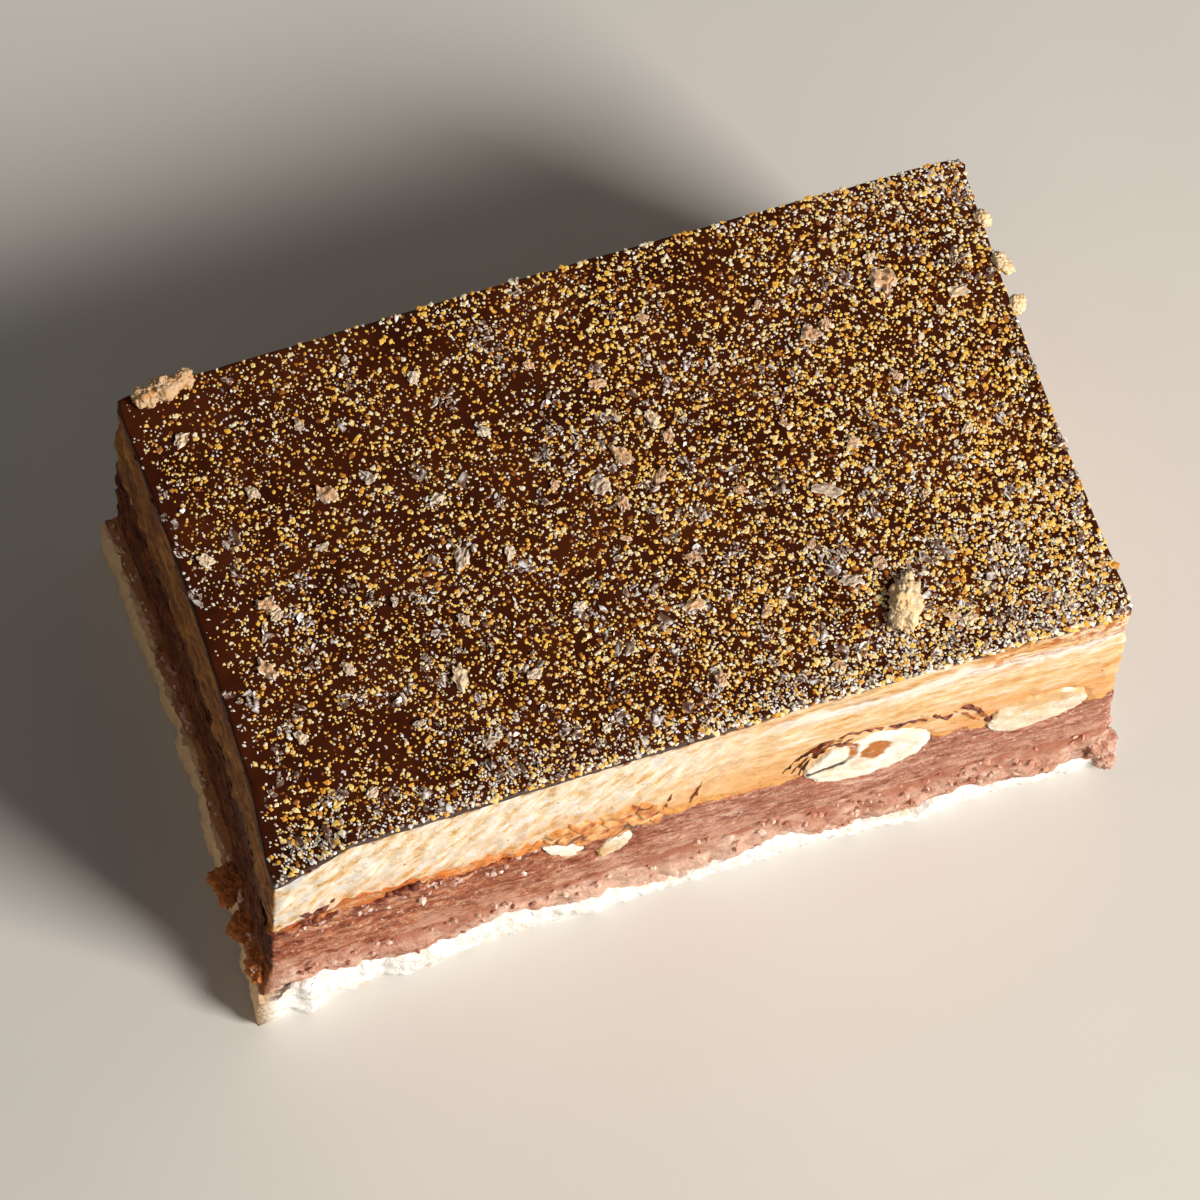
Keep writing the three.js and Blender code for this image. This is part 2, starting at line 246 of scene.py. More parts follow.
# %% Seats
FACES = {
    "front": (Vector((0, -1, 0)), Vector((1, 0, 0))),
    "back": (Vector((0, 1, 0)), Vector((-1, 0, 0))),
    "right": (Vector((1, 0, 0)), Vector((0, 1, 0))),
}
NUTS = {
    "hazelnut_front_large": {"face": "front", "cut": 0.96},
    "hazelnut_front_pale": {"face": "front", "cut": 0.87},
    "hazelnut_chip_left": {"face": "front", "cut": 0.94, "half": (3.4, 1.6), "tilt": 0.9},
    "hazelnut_chip_middle": {"face": "front", "cut": 0.93, "half": (3.3, 1.8), "tilt": -1.1},
    "hazelnut_back_large": {"face": "back", "cut": 0.93},
    "hazelnut_back_chip": {"face": "back", "cut": 0.94},
    "hazelnut_right": {"face": "right", "cut": 0.91},
}
NUT_PROUD = 0.25 * MM
SEAT_DEPTH = 0.6 * MM
SEAT_RIM = 1.02
SEAT_WALL = 0.1
SAME_WAY = 0.9


@dataclass
class Seat:
    """A cut kernel's place: the middle of its cut face, where that looks, its two axes and half sizes."""

    look: Vector
    side: Vector
    up: Vector
    middle: Vector
    wide: float
    high: float
    deep: float


def seat_of(node, face, cut, half=None, tilt=0):
    """The seat by the box of a nut's solid. cut is the share of its width that the knife met.

    A tilted nut, turned clockwise in its face, also needs its half sizes.
    """
    low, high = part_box(node)
    look, side = FACES[face]
    centre = (low + high) / 2
    reach = (high - low) / 2
    wide, tall = (size * MM for size in half) if half else (abs(reach.dot(side)), reach.z)
    on_face = outline(look.x or centre.x / HALF_LONG, look.y or centre.y / HALF_WIDE, centre.z)
    out = on_face.dot(look) + NUT_PROUD - centre.dot(look)
    spin = Quaternion(look, -tilt)
    deep = abs(reach.dot(look)) + out
    up = spin @ Vector((0, 0, 1))
    return Seat(look, spin @ side, up, centre + look * out, wide * cut, tall * cut, deep)


def seat_depth(spot, look):
    """How far a cut face gives way at a spot to let a nut sit in it."""
    for seat in SEATS.values():
        if look.dot(seat.look) > SAME_WAY:
            away = spot - seat.middle
            ring = math.hypot(away.dot(seat.side) / seat.wide, away.dot(seat.up) / seat.high)
            if ring < SEAT_RIM:
                return SEAT_DEPTH * min(1, (SEAT_RIM - ring) / SEAT_WALL)
    return 0


SEATS = {node: seat_of(node, **spec) for node, spec in NUTS.items()}
print("the large front nut is", round(2 * SEATS["hazelnut_front_large"].wide / MM, 1), "mm wide")

# %% [markdown]
# ## The camera
#
# The photograph looks down steeply on the front left corner through a long lens, with the picture turned a
# few degrees. The camera stands on a line from the slice's middle, is rolled by that angle, and slides a
# little sideways so that the slice sits in the frame where the photograph has it.

# %% Camera
LOOK = {"azimuth": -24, "elevation": 67.5, "roll": 6, "distance": 836.6 * MM, "lens": 240}
SLIDE_RIGHT = -1.55 * MM
SLIDE_UP = -2.0 * MM
CLIP_START = 50 * MM

azimuth = math.radians(LOOK["azimuth"])
elevation = math.radians(LOOK["elevation"])
back = Vector((math.sin(azimuth), -math.cos(azimuth), 0)) * math.cos(elevation)
back.z = math.sin(elevation)
turn = (-back).to_track_quat("-Z", "Y") @ Quaternion((0, 0, 1), math.radians(LOOK["roll"]))
slide = turn @ Vector((SLIDE_RIGHT, SLIDE_UP, 0))

camera = bpy.data.objects.new("camera", bpy.data.cameras.new("camera"))
camera.data.lens = LOOK["lens"]
camera.data.clip_start = CLIP_START
camera.rotation_mode = "QUATERNION"
camera.rotation_quaternion = turn
camera.location = Vector((0, 0, TOP / 2)) + back * LOOK["distance"] + slide
bpy.context.scene.collection.objects.link(camera)
bpy.context.scene.camera = camera
print("the camera stands at", tuple(round(value, 3) for value in camera.location))

# %% [markdown]
# ## A kit for finishes
#
# Every finish here is a Principled shader with patterns in front of it. Building the nodes by hand each
# time would hide the recipe, so a small class adds a node per call and returns its output. A finish
# starts with a colour, and coats are laid over it where shares let them show. Sizes of patterns are given
# in millimetres of the real thing, and colours as the hex codes that a painter would pick.


# %% Finish kit
# A mix node's sockets for colours come after those for numbers and vectors.
MIX_COLOURS = (6, 7)
MIX_RESULT = 2


class Finish:
    """A node material in the making."""

    def __init__(self, name, **sockets):
        self.material = bpy.data.materials.new(name)
        self.material.use_nodes = True
        self.tree = self.material.node_tree
        self.shader = self.tree.nodes["Principled BSDF"]
        self.place = self.tree.nodes.new("ShaderNodeTexCoord").outputs["Object"]
        self.body = None
        self.normal = None
        for socket, value in sockets.items():
            self.shader.inputs[socket.replace("_", " ")].default_value = value

    def add(self, kind, sources, **settings):
        """A node with its settings, each input linked to an output or set to a value."""
        node = self.tree.nodes.new(kind)
        for setting, value in settings.items():
            setattr(node, setting, value)
        for socket, source in sources.items():
            if isinstance(source, bpy.types.NodeSocket):
                self.tree.links.new(source, node.inputs[socket])
            else:
                node.inputs[socket].default_value = source
        return node

    def spot(self, size, stretch, shift=0, lean=0):
        """The place on the piece, counted in pattern sizes. lean turns the pattern about the Y axis."""
        scale = [size * MM * along for along in stretch]
        sources = {"Vector": self.place, "Scale": scale, "Location": (shift * size * MM,) * 3}
        sources["Rotation"] = (0, math.radians(lean), 0)
        return self.add("ShaderNodeMapping", sources, vector_type="TEXTURE").outputs[0]

    def grain(self, size, stretch=(1, 1, 1), detail=4, rough=0.55, shift=0, lean=0):
        """Soft noise whose lumps are about size millimetres across, drawn out by stretch."""
        place = self.spot(size, stretch, shift, lean)
        sources = {"Vector": place, "Scale": 1, "Detail": detail, "Roughness": rough}
        return self.add("ShaderNodeTexNoise", sources).outputs["Fac"]

    def cells(self, size, output="Distance", stretch=(1, 1, 1)):
        """Packed cells about size millimetres across: the distance from their middles, or a colour each."""
        sources = {"Vector": self.spot(size, stretch), "Scale": 1}
        return self.add("ShaderNodeTexVoronoi", sources).outputs[output]

    def patches(self, size, low, high, **looks):
        """A share that is 1 in the patches of a grain and 0 between them."""
        return self.rescale(self.grain(size, **looks), low, high)

    def attribute(self, name):
        return self.add("ShaderNodeAttribute", {}, attribute_name=name).outputs["Fac"]

    def along(self, axis, start, end):
        """A share that grows from 0 to 1 between two places on an axis, in millimetres."""
        parts = self.add("ShaderNodeSeparateXYZ", {"Vector": self.place})
        return self.rescale(parts.outputs[axis], start * MM, end * MM)

    def rescale(self, value, low, high):
        """A smooth step from 0 at low to 1 at high."""
        sources = {"Value": value, "From Min": low, "From Max": high}
        return self.add("ShaderNodeMapRange", sources, interpolation_type="SMOOTHSTEP").outputs["Result"]

    def times(self, first, second):
        return self.add("ShaderNodeMath", {0: first, 1: second}, operation="MULTIPLY").outputs[0]

    def ramp(self, share, *stops):
        """Colours along a share: each stop is a place and a hex code."""
        node = self.add("ShaderNodeValToRGB", {"Fac": share})
        points = node.color_ramp.elements
        while len(points) < len(stops):
            points.new(0.5)
        for point, (place, code) in zip(points, stops):
            point.position = place
            point.color = paint(code)
        return node.outputs["Color"]

    def mix(self, share, first, second):
        sources = dict(zip(MIX_COLOURS, (first, second)), Factor=share)
        return self.add("ShaderNodeMix", sources, data_type="RGBA").outputs[MIX_RESULT]

    def colour(self, source):
        """Sets the colour, on which coats may follow."""
        self.body = source
        self.tree.links.new(source, self.shader.inputs["Base Color"])

    def coat(self, colour, *shares):
        """Lays a hex code or a pattern over the colour, as strong as the product of the shares."""
        over = paint(colour) if isinstance(colour, str) else colour
        self.colour(self.mix(reduce(self.times, shares), self.body, over))

    def relief(self, height, depth):
        """Raises the surface by a height from 0 to 1, up to depth millimetres."""
        sources = {"Height": height, "Distance": depth * MM}
        if self.normal:
            sources["Normal"] = self.normal
        self.normal = self.add("ShaderNodeBump", sources).outputs["Normal"]
        self.tree.links.new(self.normal, self.shader.inputs["Normal"])


def paint(code):
    """A hex code as the linear colour that a socket takes."""
    parts = [int(code[i : i + 2], 16) / 255 for i in (0, 2, 4)]
    return (*Color(parts).from_srgb_to_scene_linear(), 1)


print("a mid grey is", [round(value, 3) for value in paint("808080")[:3]])

# %% [markdown]
# ## A band for the cut faces
#
# Each layer shows only where it was cut, as a ribbon that runs round the slice. A solid block with a fine
# grid on all six sides would waste most of its faces inside the cake. So the start is a cube without its
# top and bottom: its edges are subdivided, its points are moved to their places, and the two rims are
# drawn in a little and closed with one face each, which the neighbouring layers hide.

# %% A band of quads
EDGE_LEAST = 1e-4
LEVEL_LEAST = 0.5
SMOOTH_COLUMN = 0.36 * MM
CRUMBLY_COLUMN = 0.26 * MM


def divide(bm, cells):
    """Cuts the edges along each axis into that many cells."""
    for axis, count in enumerate(cells):
        edges = [e for e in bm.edges if abs(e.verts[0].co[axis] - e.verts[1].co[axis]) > EDGE_LEAST]
        bmesh.ops.subdivide_edges(bm, edges=edges, cuts=count - 1, use_grid_fill=True)


def cut_band(rows, column):
    """The four cut faces as an open band of quads with corners at -1 and 1."""
    bm = bmesh.new()
    bmesh.ops.create_cube(bm, size=2)
    ends = [face for face in bm.faces if abs(face.normal.z) > LEVEL_LEAST]
    bmesh.ops.delete(bm, geom=ends, context="FACES_ONLY")
    divide(bm, (round(2 * HALF_LONG / column), round(2 * HALF_WIDE / column), rows))
    return bm


columns = [round(2 * HALF_LONG / column) for column in (SMOOTH_COLUMN, CRUMBLY_COLUMN)]
print("along the front a smooth band has", columns[0], "columns and a crumbly one", columns[1])

# %% [markdown]
# Two layers crumble, and their solids already hold the broken outline. Rays shot inwards from outside find
# it. What they find counts up to a largest reach, so that a loose crumb isn't drawn out into a fin.

# %% The broken outline of a solid
RAY_START = 8 * MM
RAY_INSET = 0.2 * MM
REACH_MOST = 2.6 * MM


def solid_tree(node):
    """A solid of the frame, ready for rays, with its lowest and highest level."""
    low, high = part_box(node)
    tree = BVHTree.FromObject(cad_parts[node], bpy.context.evaluated_depsgraph_get())
    return tree, low.z, high.z


def on_solid(solid, spot, look):
    """A spot of the outline, carried out to the solid's own side."""
    tree, low, high = solid
    start = spot + look * RAY_START
    start.z = min(max(spot.z, low + RAY_INSET), high - RAY_INSET)
    hit = tree.ray_cast(start, -look)[0]
    reach = (hit - spot).dot(look) if hit else 0
    return spot + look * min(max(reach, 0), REACH_MOST)


CRUMBLY = {node: solid_tree(node) for node in ("base_sponge", "praline_crisp")}
print("rays can meet", " and ".join(CRUMBLY))

# %% [markdown]
# A layer takes its band, the two seams that bound it and a function for its relief, in millimetres. It
# also keeps two attributes: how far up the layer each point lies, because stains and crusts follow the
# seams, and whether it belongs to the left end, which lies in shade and is painted darker: partly for
# chocolate that the knife smeared over the layers, partly as painted shade.


# %% A layer and a piece
def keep_reach(share):
    """Follows the solid's outline at every height."""
    return 1


def cut_layer(floor, roof, rows, relief, node=None, hold=keep_reach):
    """A layer's band between two seams.

    With a node it follows that solid's broken outline, by the share that hold gives for its height.
    """
    bm = cut_band(rows, CRUMBLY_COLUMN if node else SMOOTH_COLUMN)
    rise = bm.verts.layers.float.new("rise")
    left = bm.verts.layers.float.new("left")
    solid = CRUMBLY.get(node)
    for vert in bm.verts:
        u, v, level = vert.co
        share = (level + 1) / 2
        low = floor(u, v)
        spot = outline(u, v, low + share * (roof(u, v) - low))
        look = outward(u, v)
        if solid:
            spot = spot.lerp(on_solid(solid, spot, look), hold(share))
        vert[rise] = share
        # Marks the left end, which the finishes paint darker: partly smeared chocolate, partly painted
        # shade.
        vert[left] = float(u < -ON_FACE)
        vert.co = spot + look * (relief(spot / MM, share) * MM - seat_depth(spot, look))
    return bm


def draw_in(bm, step=0.5 * MM, count=3, roughness=0.0):
    """Carries both rims inwards in steps. The upper one, on which the next layer lies, may be rough.

    The rims are kept sharp, so that the shading of two layers agrees where they meet.
    """
    rise = bm.verts.layers.float["rise"]
    for _ in range(count):
        rims = [edge for edge in bm.edges if edge.is_boundary]
        for edge in rims:
            edge.smooth = False
        made = bmesh.ops.extrude_edge_only(bm, edges=rims)["geom"]
        for vert in (item for item in made if isinstance(item, bmesh.types.BMVert)):
            vert.co.x *= 1 - step / HALF_LONG
            vert.co.y *= 1 - step / HALF_WIDE
            vert.co.z += roughness * vert[rise] * noise.noise(vert.co / MM)


def add_piece(name, bm, finish, nodes=(), smooth=True):
    """Closes a bmesh and makes it a piece."""
    bmesh.ops.edgeloop_fill(bm, edges=[edge for edge in bm.edges if edge.is_boundary])
    mesh = bpy.data.meshes.new(name)
    bm.to_mesh(mesh)
    bm.free()
    ride_piece(name, mesh, finish, nodes, smooth)


def ride_piece(name, mesh, finish, nodes=(), smooth=True):
    """Makes a mesh a piece that rides on the slice and stands for the nodes."""
    mesh.polygons.foreach_set("use_smooth", [smooth] * len(mesh.polygons))
    mesh.materials.append(finish.material)
    piece = bpy.data.objects.new(name, mesh)
    bpy.context.scene.collection.objects.link(piece)
    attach(piece, "root")
    if nodes:
        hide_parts(*nodes)
    print(name, "has", len(mesh.polygons), "faces")


# %% [markdown]
# ## Sponge base
#
# A thin nut sponge, nearly white where it was cut. It breaks into crumbs under the knife, so its edge is
# ragged in plan and its face is pitted, and it runs out in a foot at the front left corner. The band
# follows the solid's broken outline, foot and all, and lumps in two sizes add the fine crumb. Its left
# end is more ragged, lies in shade and is painted a warm tan as painted shade. The layers are dull, or a
# low view would show the floor in them.


# %% Sponge
DULL = 0.15
SPONGE_LUMPS = [(0.24, 1.6), (0.2, 0.6)]
LEFT_RAG = {"depth": 0.6, "from": 44, "to": 46}
LUMP_STEEP = 1.5
# For a fractal noise: how fast its finer waves fade, the step between their sizes, and how many sizes
SOFT = (0.8, 2.2, 3)
TORN = (0.7, 2.2, 4)


def crumbs(spot, size):
    """Round lumps of about size millimetres: 0 in the creases between them and 1 on top."""
    near = noise.voronoi(spot / size)[0]
    return math.sqrt(min(1, LUMP_STEEP * (near[1] - near[0])))


def lumps_of(spot, sizes, start=0.0):
    """Lumps in several sizes. Each has its height and its size in millimetres."""
    return sum((height * crumbs(spot, size) for height, size in sizes), start)


def sponge_finish():
    look = Finish("sponge", Roughness=0.9, Specular_IOR_Level=DULL)
    look.colour(look.ramp(look.grain(1.2, detail=6), (0.3, "f6ecda"), (0.44, "fdf9f1"), (0.6, "fffefc")))
    crust = look.rescale(look.attribute("rise"), 0.3, 0.0)
    look.coat("ecc894", crust, look.patches(1.8, 0.52, 0.68, shift=5))
    # Painted shade: a warm tan on the left end, which lies in shade.
    look.coat("ffd39c", look.attribute("left"), 0.9)
    look.relief(look.grain(0.5, detail=5), 0.2)
    return look


def sponge_relief(spot, share):
    lumps = lumps_of(spot, SPONGE_LUMPS) + 0.26 * noise.fractal(spot * 0.7, *SOFT)
    at_left = ease(-spot.x, LEFT_RAG["from"], LEFT_RAG["to"])
    ragged = LEFT_RAG["depth"] * at_left * noise.fractal(Vector((0, spot.y * 0.3, 7)), *TORN)
    return lumps + ragged - 0.3 + 0.15 * noise.noise(spot * 0.35) - 0.3 * abs(2 * share - 1) ** 3


def slice_foot(u, v):
    """The base is level below."""
    return 0.0


sponge = cut_layer(slice_foot, praline_floor, rows=16, relief=sponge_relief, node="base_sponge")
draw_in(sponge, count=4, roughness=0.2 * MM)
add_piece("sponge", sponge, sponge_finish(), ["base_sponge"])

# %% [markdown]
# ## Praline crisp
#
# Crushed wafer and nut paste, pressed flat: a crumbly, salmon coloured layer with pale and dark bits,
# which passes into the mousse without a clear line. It could be built of thousands of grains, but only
# its cut face shows, so the band follows the broken solid and lumps stand out of it. A Voronoi pattern
# tints the grains, and patches of mousse brown are let in from above.


# %% Praline
PRALINE_LUMPS = [(0.32, 1.9), (0.14, 0.8)]


def praline_finish(name, shaded):
    """The crisp's finish, with the darker colour painted at its left end: painted shade, partly smeared
    chocolate.
    """
    look = Finish(name, Roughness=0.75, Specular_IOR_Level=DULL)
    cells = look.cells(0.9, "Color", (1.4, 1.4, 1))
    tint = look.add("ShaderNodeSeparateColor", {"Color": cells}).outputs["Red"]
    bits = look.ramp(tint, (0.0, "9c5f48"), (0.25, "c98f76"), (0.7, "deb19a"), (1.0, "f8e2d0"))
    lumps = look.grain(1.8, stretch=(1.5, 1.5, 1), detail=9, rough=0.68)
    broad = look.ramp(lumps, (0.34, "8a4a34"), (0.45, "c68e76"), (0.56, "e3b9a3"), (0.68, "f8e2d2"))
    look.colour(look.mix(0.72, bits, broad))
    look.coat("f2cdb7", look.along("X", -20, -10), look.along("X", 14, 4), 0.6)
    edge = look.rescale(look.attribute("rise"), 0.3, 0.95)
    look.coat("b5745b", edge, look.patches(2.2, 0.36, 0.56, stretch=(1.8, 1.8, 1), detail=6, shift=6))
    # The left end is painted darker: painted shade, and on the crisp's own face partly chocolate smeared by
    # the knife.
    look.coat(shaded, look.attribute("left"), 0.85)
    look.relief(lumps, 0.4)
    look.relief(look.grain(0.4, detail=6), 0.2)
    return look


def praline_relief(spot, share):
    lumps = lumps_of(spot, PRALINE_LUMPS)
    return (lumps - 0.34 + 0.35 * noise.noise(spot * 0.4)) * (1 - ease(share, 0.4, 1))


def praline_hold(share):
    """The crisp stands proud of the cut face below and meets the mousse flush above."""
    return 1 - ease(share, 0.3, 1)


shape = {"relief": praline_relief, "node": "praline_crisp", "hold": praline_hold}
praline = cut_layer(praline_floor, mousse_floor, rows=26, **shape)
draw_in(praline, step=0.4 * MM, roughness=0.2 * MM)
add_piece("praline", praline, praline_finish("praline", shaded="9a5c2c"), ["praline_crisp"])

# %% [markdown]
# ## Chocolate mousse
#
# Milk chocolate mousse: a warm brown at the left, where the knife tore it into level streaks, and paler and
# smoother at the right. The streaks are long and very low, so they are made twice: as shallow steps in the
# mesh that catch the light, and as stretched noise in the finish for the hundreds that are finer.


# %% Mousse
END_TEAR = {"depth": 0.3, "from": 44.6, "to": 45.8}


def mousse_finish():
    look = Finish("mousse", Roughness=0.6, Specular_IOR_Level=DULL)
    lines = look.grain(0.8, stretch=(4.5, 4.5, 1), detail=10, rough=0.74)
    left = look.ramp(lines, (0.37, "76331b"), (0.46, "ad6144"), (0.54, "cd8560"), (0.64, "f0c09a"))
    right = look.ramp(lines, (0.37, "9a5843"), (0.46, "bb7a63"), (0.54, "d0957e"), (0.64, "ecc6b2"))
    look.colour(look.mix(look.along("X", -20, 4), left, right))
    look.coat("9c5a43", look.patches(4, 0.42, 0.62, stretch=(2.5, 2.5, 1), detail=6, shift=2), 0.35)
    fine = look.grain(0.75, stretch=(1.5, 1.5, 1), detail=9, rough=0.8, shift=15)
    look.coat("783a26", look.rescale(fine, 0.5, 0.38), 0.7)
    look.coat("f4cfb6", look.rescale(fine, 0.52, 0.64), 0.7)
    mark_mousse(look, look.attribute("rise"))
    # The left end is painted dark brown: partly chocolate smeared by the knife, partly painted shade.
    shaded = look.ramp(lines, (0.4, "3f1a08"), (0.52, "6e3410"), (0.66, "a4602a"))
    look.coat(shaded, look.attribute("left"), 0.96)
    look.relief(lines, 0.32)
    look.relief(look.grain(0.3, detail=5), 0.16)
    return look


def mark_mousse(look, rise):
    """Lumps of crisp below, torn dark edges above and pale specks all over."""
    lumps = look.patches(2.4, 0.46, 0.58, stretch=(1.6, 1.6, 1), detail=7, shift=12)
    look.coat("d9a58c", look.rescale(rise, 0.4, 0.0), lumps)
    torn = look.patches(1.1, 0.44, 0.56, stretch=(1.6, 1.6, 1), detail=7, shift=9)
    look.coat("713220", look.rescale(rise, 0.6, 1.0), look.along("X", 8, -14), torn, 0.85)
    specks = look.rescale(look.cells(0.8), 0.26, 0.14)
    look.coat("f0d2bf", specks, look.patches(1.7, 0.46, 0.58, shift=3), 0.75)


def end_tear(spot):
    """The torn edges of the two ends, where the knife left the slice."""
    share = ease(abs(spot.x), END_TEAR["from"], END_TEAR["to"])
    return END_TEAR["depth"] * share * noise.fractal(spot * 0.7, *TORN)


def mousse_relief(spot, share):
    drag = noise.noise(Vector((spot.x * 0.06, spot.y * 0.06, spot.z * 1.5)))
    torn = noise.fractal(Vector((spot.x * 0.4, spot.y * 0.4, spot.z * 0.8)), 0.6, 2.2, 5)
    streaks = 0.14 * drag + (0.32 - 0.12 * ease(spot.x, -20, 4)) * torn
    return (streaks + end_tear(spot)) * ease(share, 0, 0.12)


mousse = cut_layer(mousse_floor, caramel_floor, rows=40, relief=mousse_relief)
draw_in(mousse)
add_piece("mousse", mousse, mousse_finish(), ["chocolate_mousse"])

# %% [markdown]
# ## Caramel
#
# A sticky layer between mousse and cream. It is orange with dark, burnt patches at the left, folded in the
# middle, and fades into the cream on the right. A ramp along the slice gives those states, and noise breaks
# it up. It stays glossier than its neighbours. Where it fades, both reliefs die away at the seam.


# %% Caramel
MERGE_START = -6
MERGE_END = 0


def caramel_finish():
    look = Finish("caramel", Roughness=0.34, Specular_IOR_Level=DULL)
    stops = [(0.0, "c06a34"), (0.12, "e4843c"), (0.32, "ec9a4a"), (0.5, "eaa75e"), (0.8, "e8aa66")]
    look.colour(look.ramp(look.along("X", -46, 46), *stops))
    glow = look.patches(1.4, 0.48, 0.62, stretch=(2.5, 2.5, 1), detail=7, shift=1)
    look.coat("f6cd9a", glow, look.along("X", -4, -16), 0.55)
    dark = look.patches(1.7, 0.52, 0.59, stretch=(2.4, 2.4, 1), detail=8, rough=0.68, shift=4)
    look.coat("75290f", dark, look.rescale(look.attribute("rise"), 0.85, 0.3), look.along("X", 2, -14))
    # The left end is painted dark brown: partly chocolate smeared by the knife, partly painted shade.
    look.coat("5a2a0a", look.attribute("left"), 0.95)
    look.relief(look.grain(0.8, detail=7), 0.4)
    return look


def caramel_relief(spot, share):
    merged = ease(share, 0.4, 1) * ease(spot.x, MERGE_START, MERGE_END)
    return (0.36 * noise.fractal(spot * 0.6, *TORN) - 0.05) * (1 - merged)


caramel = cut_layer(caramel_floor, cream_floor, rows=8, relief=caramel_relief)
draw_in(caramel)
add_piece("caramel", caramel, caramel_finish(), ["nut_caramel"])

# %% [markdown]
# ## Hazelnut cream
#
# The thickest layer: pale cream that the knife tore into slanting fibres at the left and smeared into
# long level streaks at the right. Caramel stains its lower part, and thin brown lines run under the
# glaze. Fibres and streaks are mixed along the slice, in the mesh as well as in the finish, so that light
# and colour agree.

# %% Cream
SMEAR_START = -8
SMEAR_END = 12
FIBRE_LEAN = 40


def cream_finish():
    look = Finish("cream", Roughness=0.5, Specular_IOR_Level=DULL)
    smear = look.along("X", SMEAR_START, SMEAR_END)
    fibres = look.grain(1.1, stretch=(1, 1, 3), detail=10, rough=0.72, lean=FIBRE_LEAN)
    torn = look.ramp(fibres, (0.35, "d89648"), (0.43, "f3cf9a"), (0.51, "fdecd2"), (0.61, "fffaf2"))
    blotches = look.grain(1.6, stretch=(4, 4, 1), detail=10, rough=0.7, shift=4)
    smeared = look.ramp(blotches, (0.35, "c57e34"), (0.45, "e8b678"), (0.55, "f6d8aa"), (0.65, "fff6e6"))
    look.colour(look.mix(smear, torn, smeared))
    rise = look.attribute("rise")
    stain_cream(look, rise)
    streak_cream(look, rise)
    # The left end is painted dark brown: partly chocolate smeared by the knife, partly painted shade.
    shaded = look.ramp(blotches, (0.38, "5c2e08"), (0.5, "98560f"), (0.64, "c98a36"))
    look.coat(shaded, look.attribute("left"), 0.97)
    look.relief(look.mix(smear, fibres, blotches), 0.3)
    look.relief(look.grain(0.45, stretch=(3, 3, 1), detail=5), 0.12)
    return look


def stain_cream(look, rise):
    """Caramel that soaked into the lower part of the cream."""
    middle = look.times(look.along("X", -20, -8), look.along("X", 16, 4))
    look.coat("f6c684", look.rescale(rise, 0.55, 0.15), middle, 0.5)
    stains = look.patches(3.6, 0.36, 0.58, stretch=(2, 2, 1), detail=6, shift=7)
    look.coat("e59c50", look.rescale(rise, 0.5, 0.02), stains, look.along("X", -60, -12), 0.66)
    look.coat("eda35a", look.rescale(rise, 0.6, 0.1), look.along("X", 22, 32), 0.55)


def streak_cream(look, rise):
    """A white smear, brown streaks, rust and a dark line under the glaze, and a few dots."""
    wavy = look.add("ShaderNodeMath", {0: rise, 1: look.times(look.grain(6, shift=3), 0.3)}).outputs[0]
    white = look.times(look.rescale(wavy, 0.8, 0.88), look.rescale(wavy, 1.0, 0.93))
    look.coat("fffaf0", white, look.along("X", 2, 12), 0.85)
    streaks = look.patches(0.6, 0.54, 0.6, stretch=(9, 9, 1), detail=7, rough=0.7, shift=5)
    look.coat("b0622a", streaks, look.rescale(rise, 0.62, 0.9), look.along("X", -4, 10), 0.85)
    rust = look.patches(1.6, 0.53, 0.59, detail=7, shift=17)
    look.coat("c4641a", rust, look.rescale(rise, 0.6, 0.95), look.along("X", 22, 36), 0.9)
    look.coat("8a451c", look.rescale(rise, 0.95, 1.0), look.patches(1.4, 0.34, 0.56, shift=2))
    dots = look.rescale(look.cells(1.7), 0.13, 0.07)
    look.coat("9a5a28", dots, look.patches(3, 0.5, 0.6, shift=8))


def cream_relief(spot, share):
    smear = ease(spot.x, SMEAR_START, SMEAR_END)
    slanted = Vector((spot.x * 0.55 - spot.z * 0.3, spot.y * 0.5, spot.x * 0.1 + spot.z * 0.2))
    fibres = noise.fractal(slanted, 0.65, 2.1, 5)
    drag = noise.noise(Vector((spot.x * 0.04, spot.y * 0.04, spot.z * 0.8)))
    merged = ease(share, 0.12, 0) * ease(spot.x, MERGE_START, MERGE_END)
    relief = (1 - smear) * 0.34 * fibres + smear * (0.12 * drag + 0.18 * fibres) + end_tear(spot)
    return relief * (1 - merged)


cream = cut_layer(cream_floor, glaze_floor, rows=44, relief=cream_relief)
draw_in(cream)
add_piece("cream", cream, cream_finish(), ["hazelnut_cream"])

# %% [markdown]
# ## Folds of caramel and shreds of skin
#
# In the middle of the front the caramel came out in thin crinkled scales, and dark nut skin was dragged
# along beside the large nut. Both are thin sheets that lie on the cut face. Each is a grid on that face,
# lifted in the middle and sunk into the cream at its rim, so it needs no thickness of its own to look
# solid.


# %% Sheets on the front face
def front_sheet(bm, along, up, place):
    """Adds a grid. place turns two shares into x, z and lift in millimetres, and a shade from -1 to 1."""
    shade = bm.verts.layers.float.get("shade") or bm.verts.layers.float.new("shade")
    for vert in bmesh.ops.create_grid(bm, x_segments=along, y_segments=up, size=1)["verts"]:
        x, z, lift, vert[shade] = place((vert.co.x + 1) / 2, (vert.co.y + 1) / 2)
        vert.co = outline(x * MM / HALF_LONG, -1, z * MM) - Vector((0, lift * MM, 0))


def swelling(share, sharpness):
    """1 in the middle of a share and 0 at both its ends."""
    return 1 - abs(2 * share - 1) ** sharpness


print("a quarter of the way along, a sheet swells to", swelling(0.25, 2))

# %% Caramel folds
FOLDS = {"from": -17.8, "to": -2.8, "middle": 22.9, "half_high": 3.9}


def fold_finish():
    look = Finish("caramel_fold", Roughness=0.38)
    look.colour(look.ramp(look.grain(1.5, detail=6), (0.36, "a8541c"), (0.48, "d98a40"), (0.6, "f2bc7c")))
    shade = look.attribute("shade")
    # Painted shade: the dark creases between the scales.
    look.coat("5f2610", look.rescale(shade, 0, 1))
    look.coat("f6c585", look.rescale(shade, 0, -1))
    look.relief(look.grain(0.5, stretch=(2, 1, 1), detail=5), 0.2)
    return look


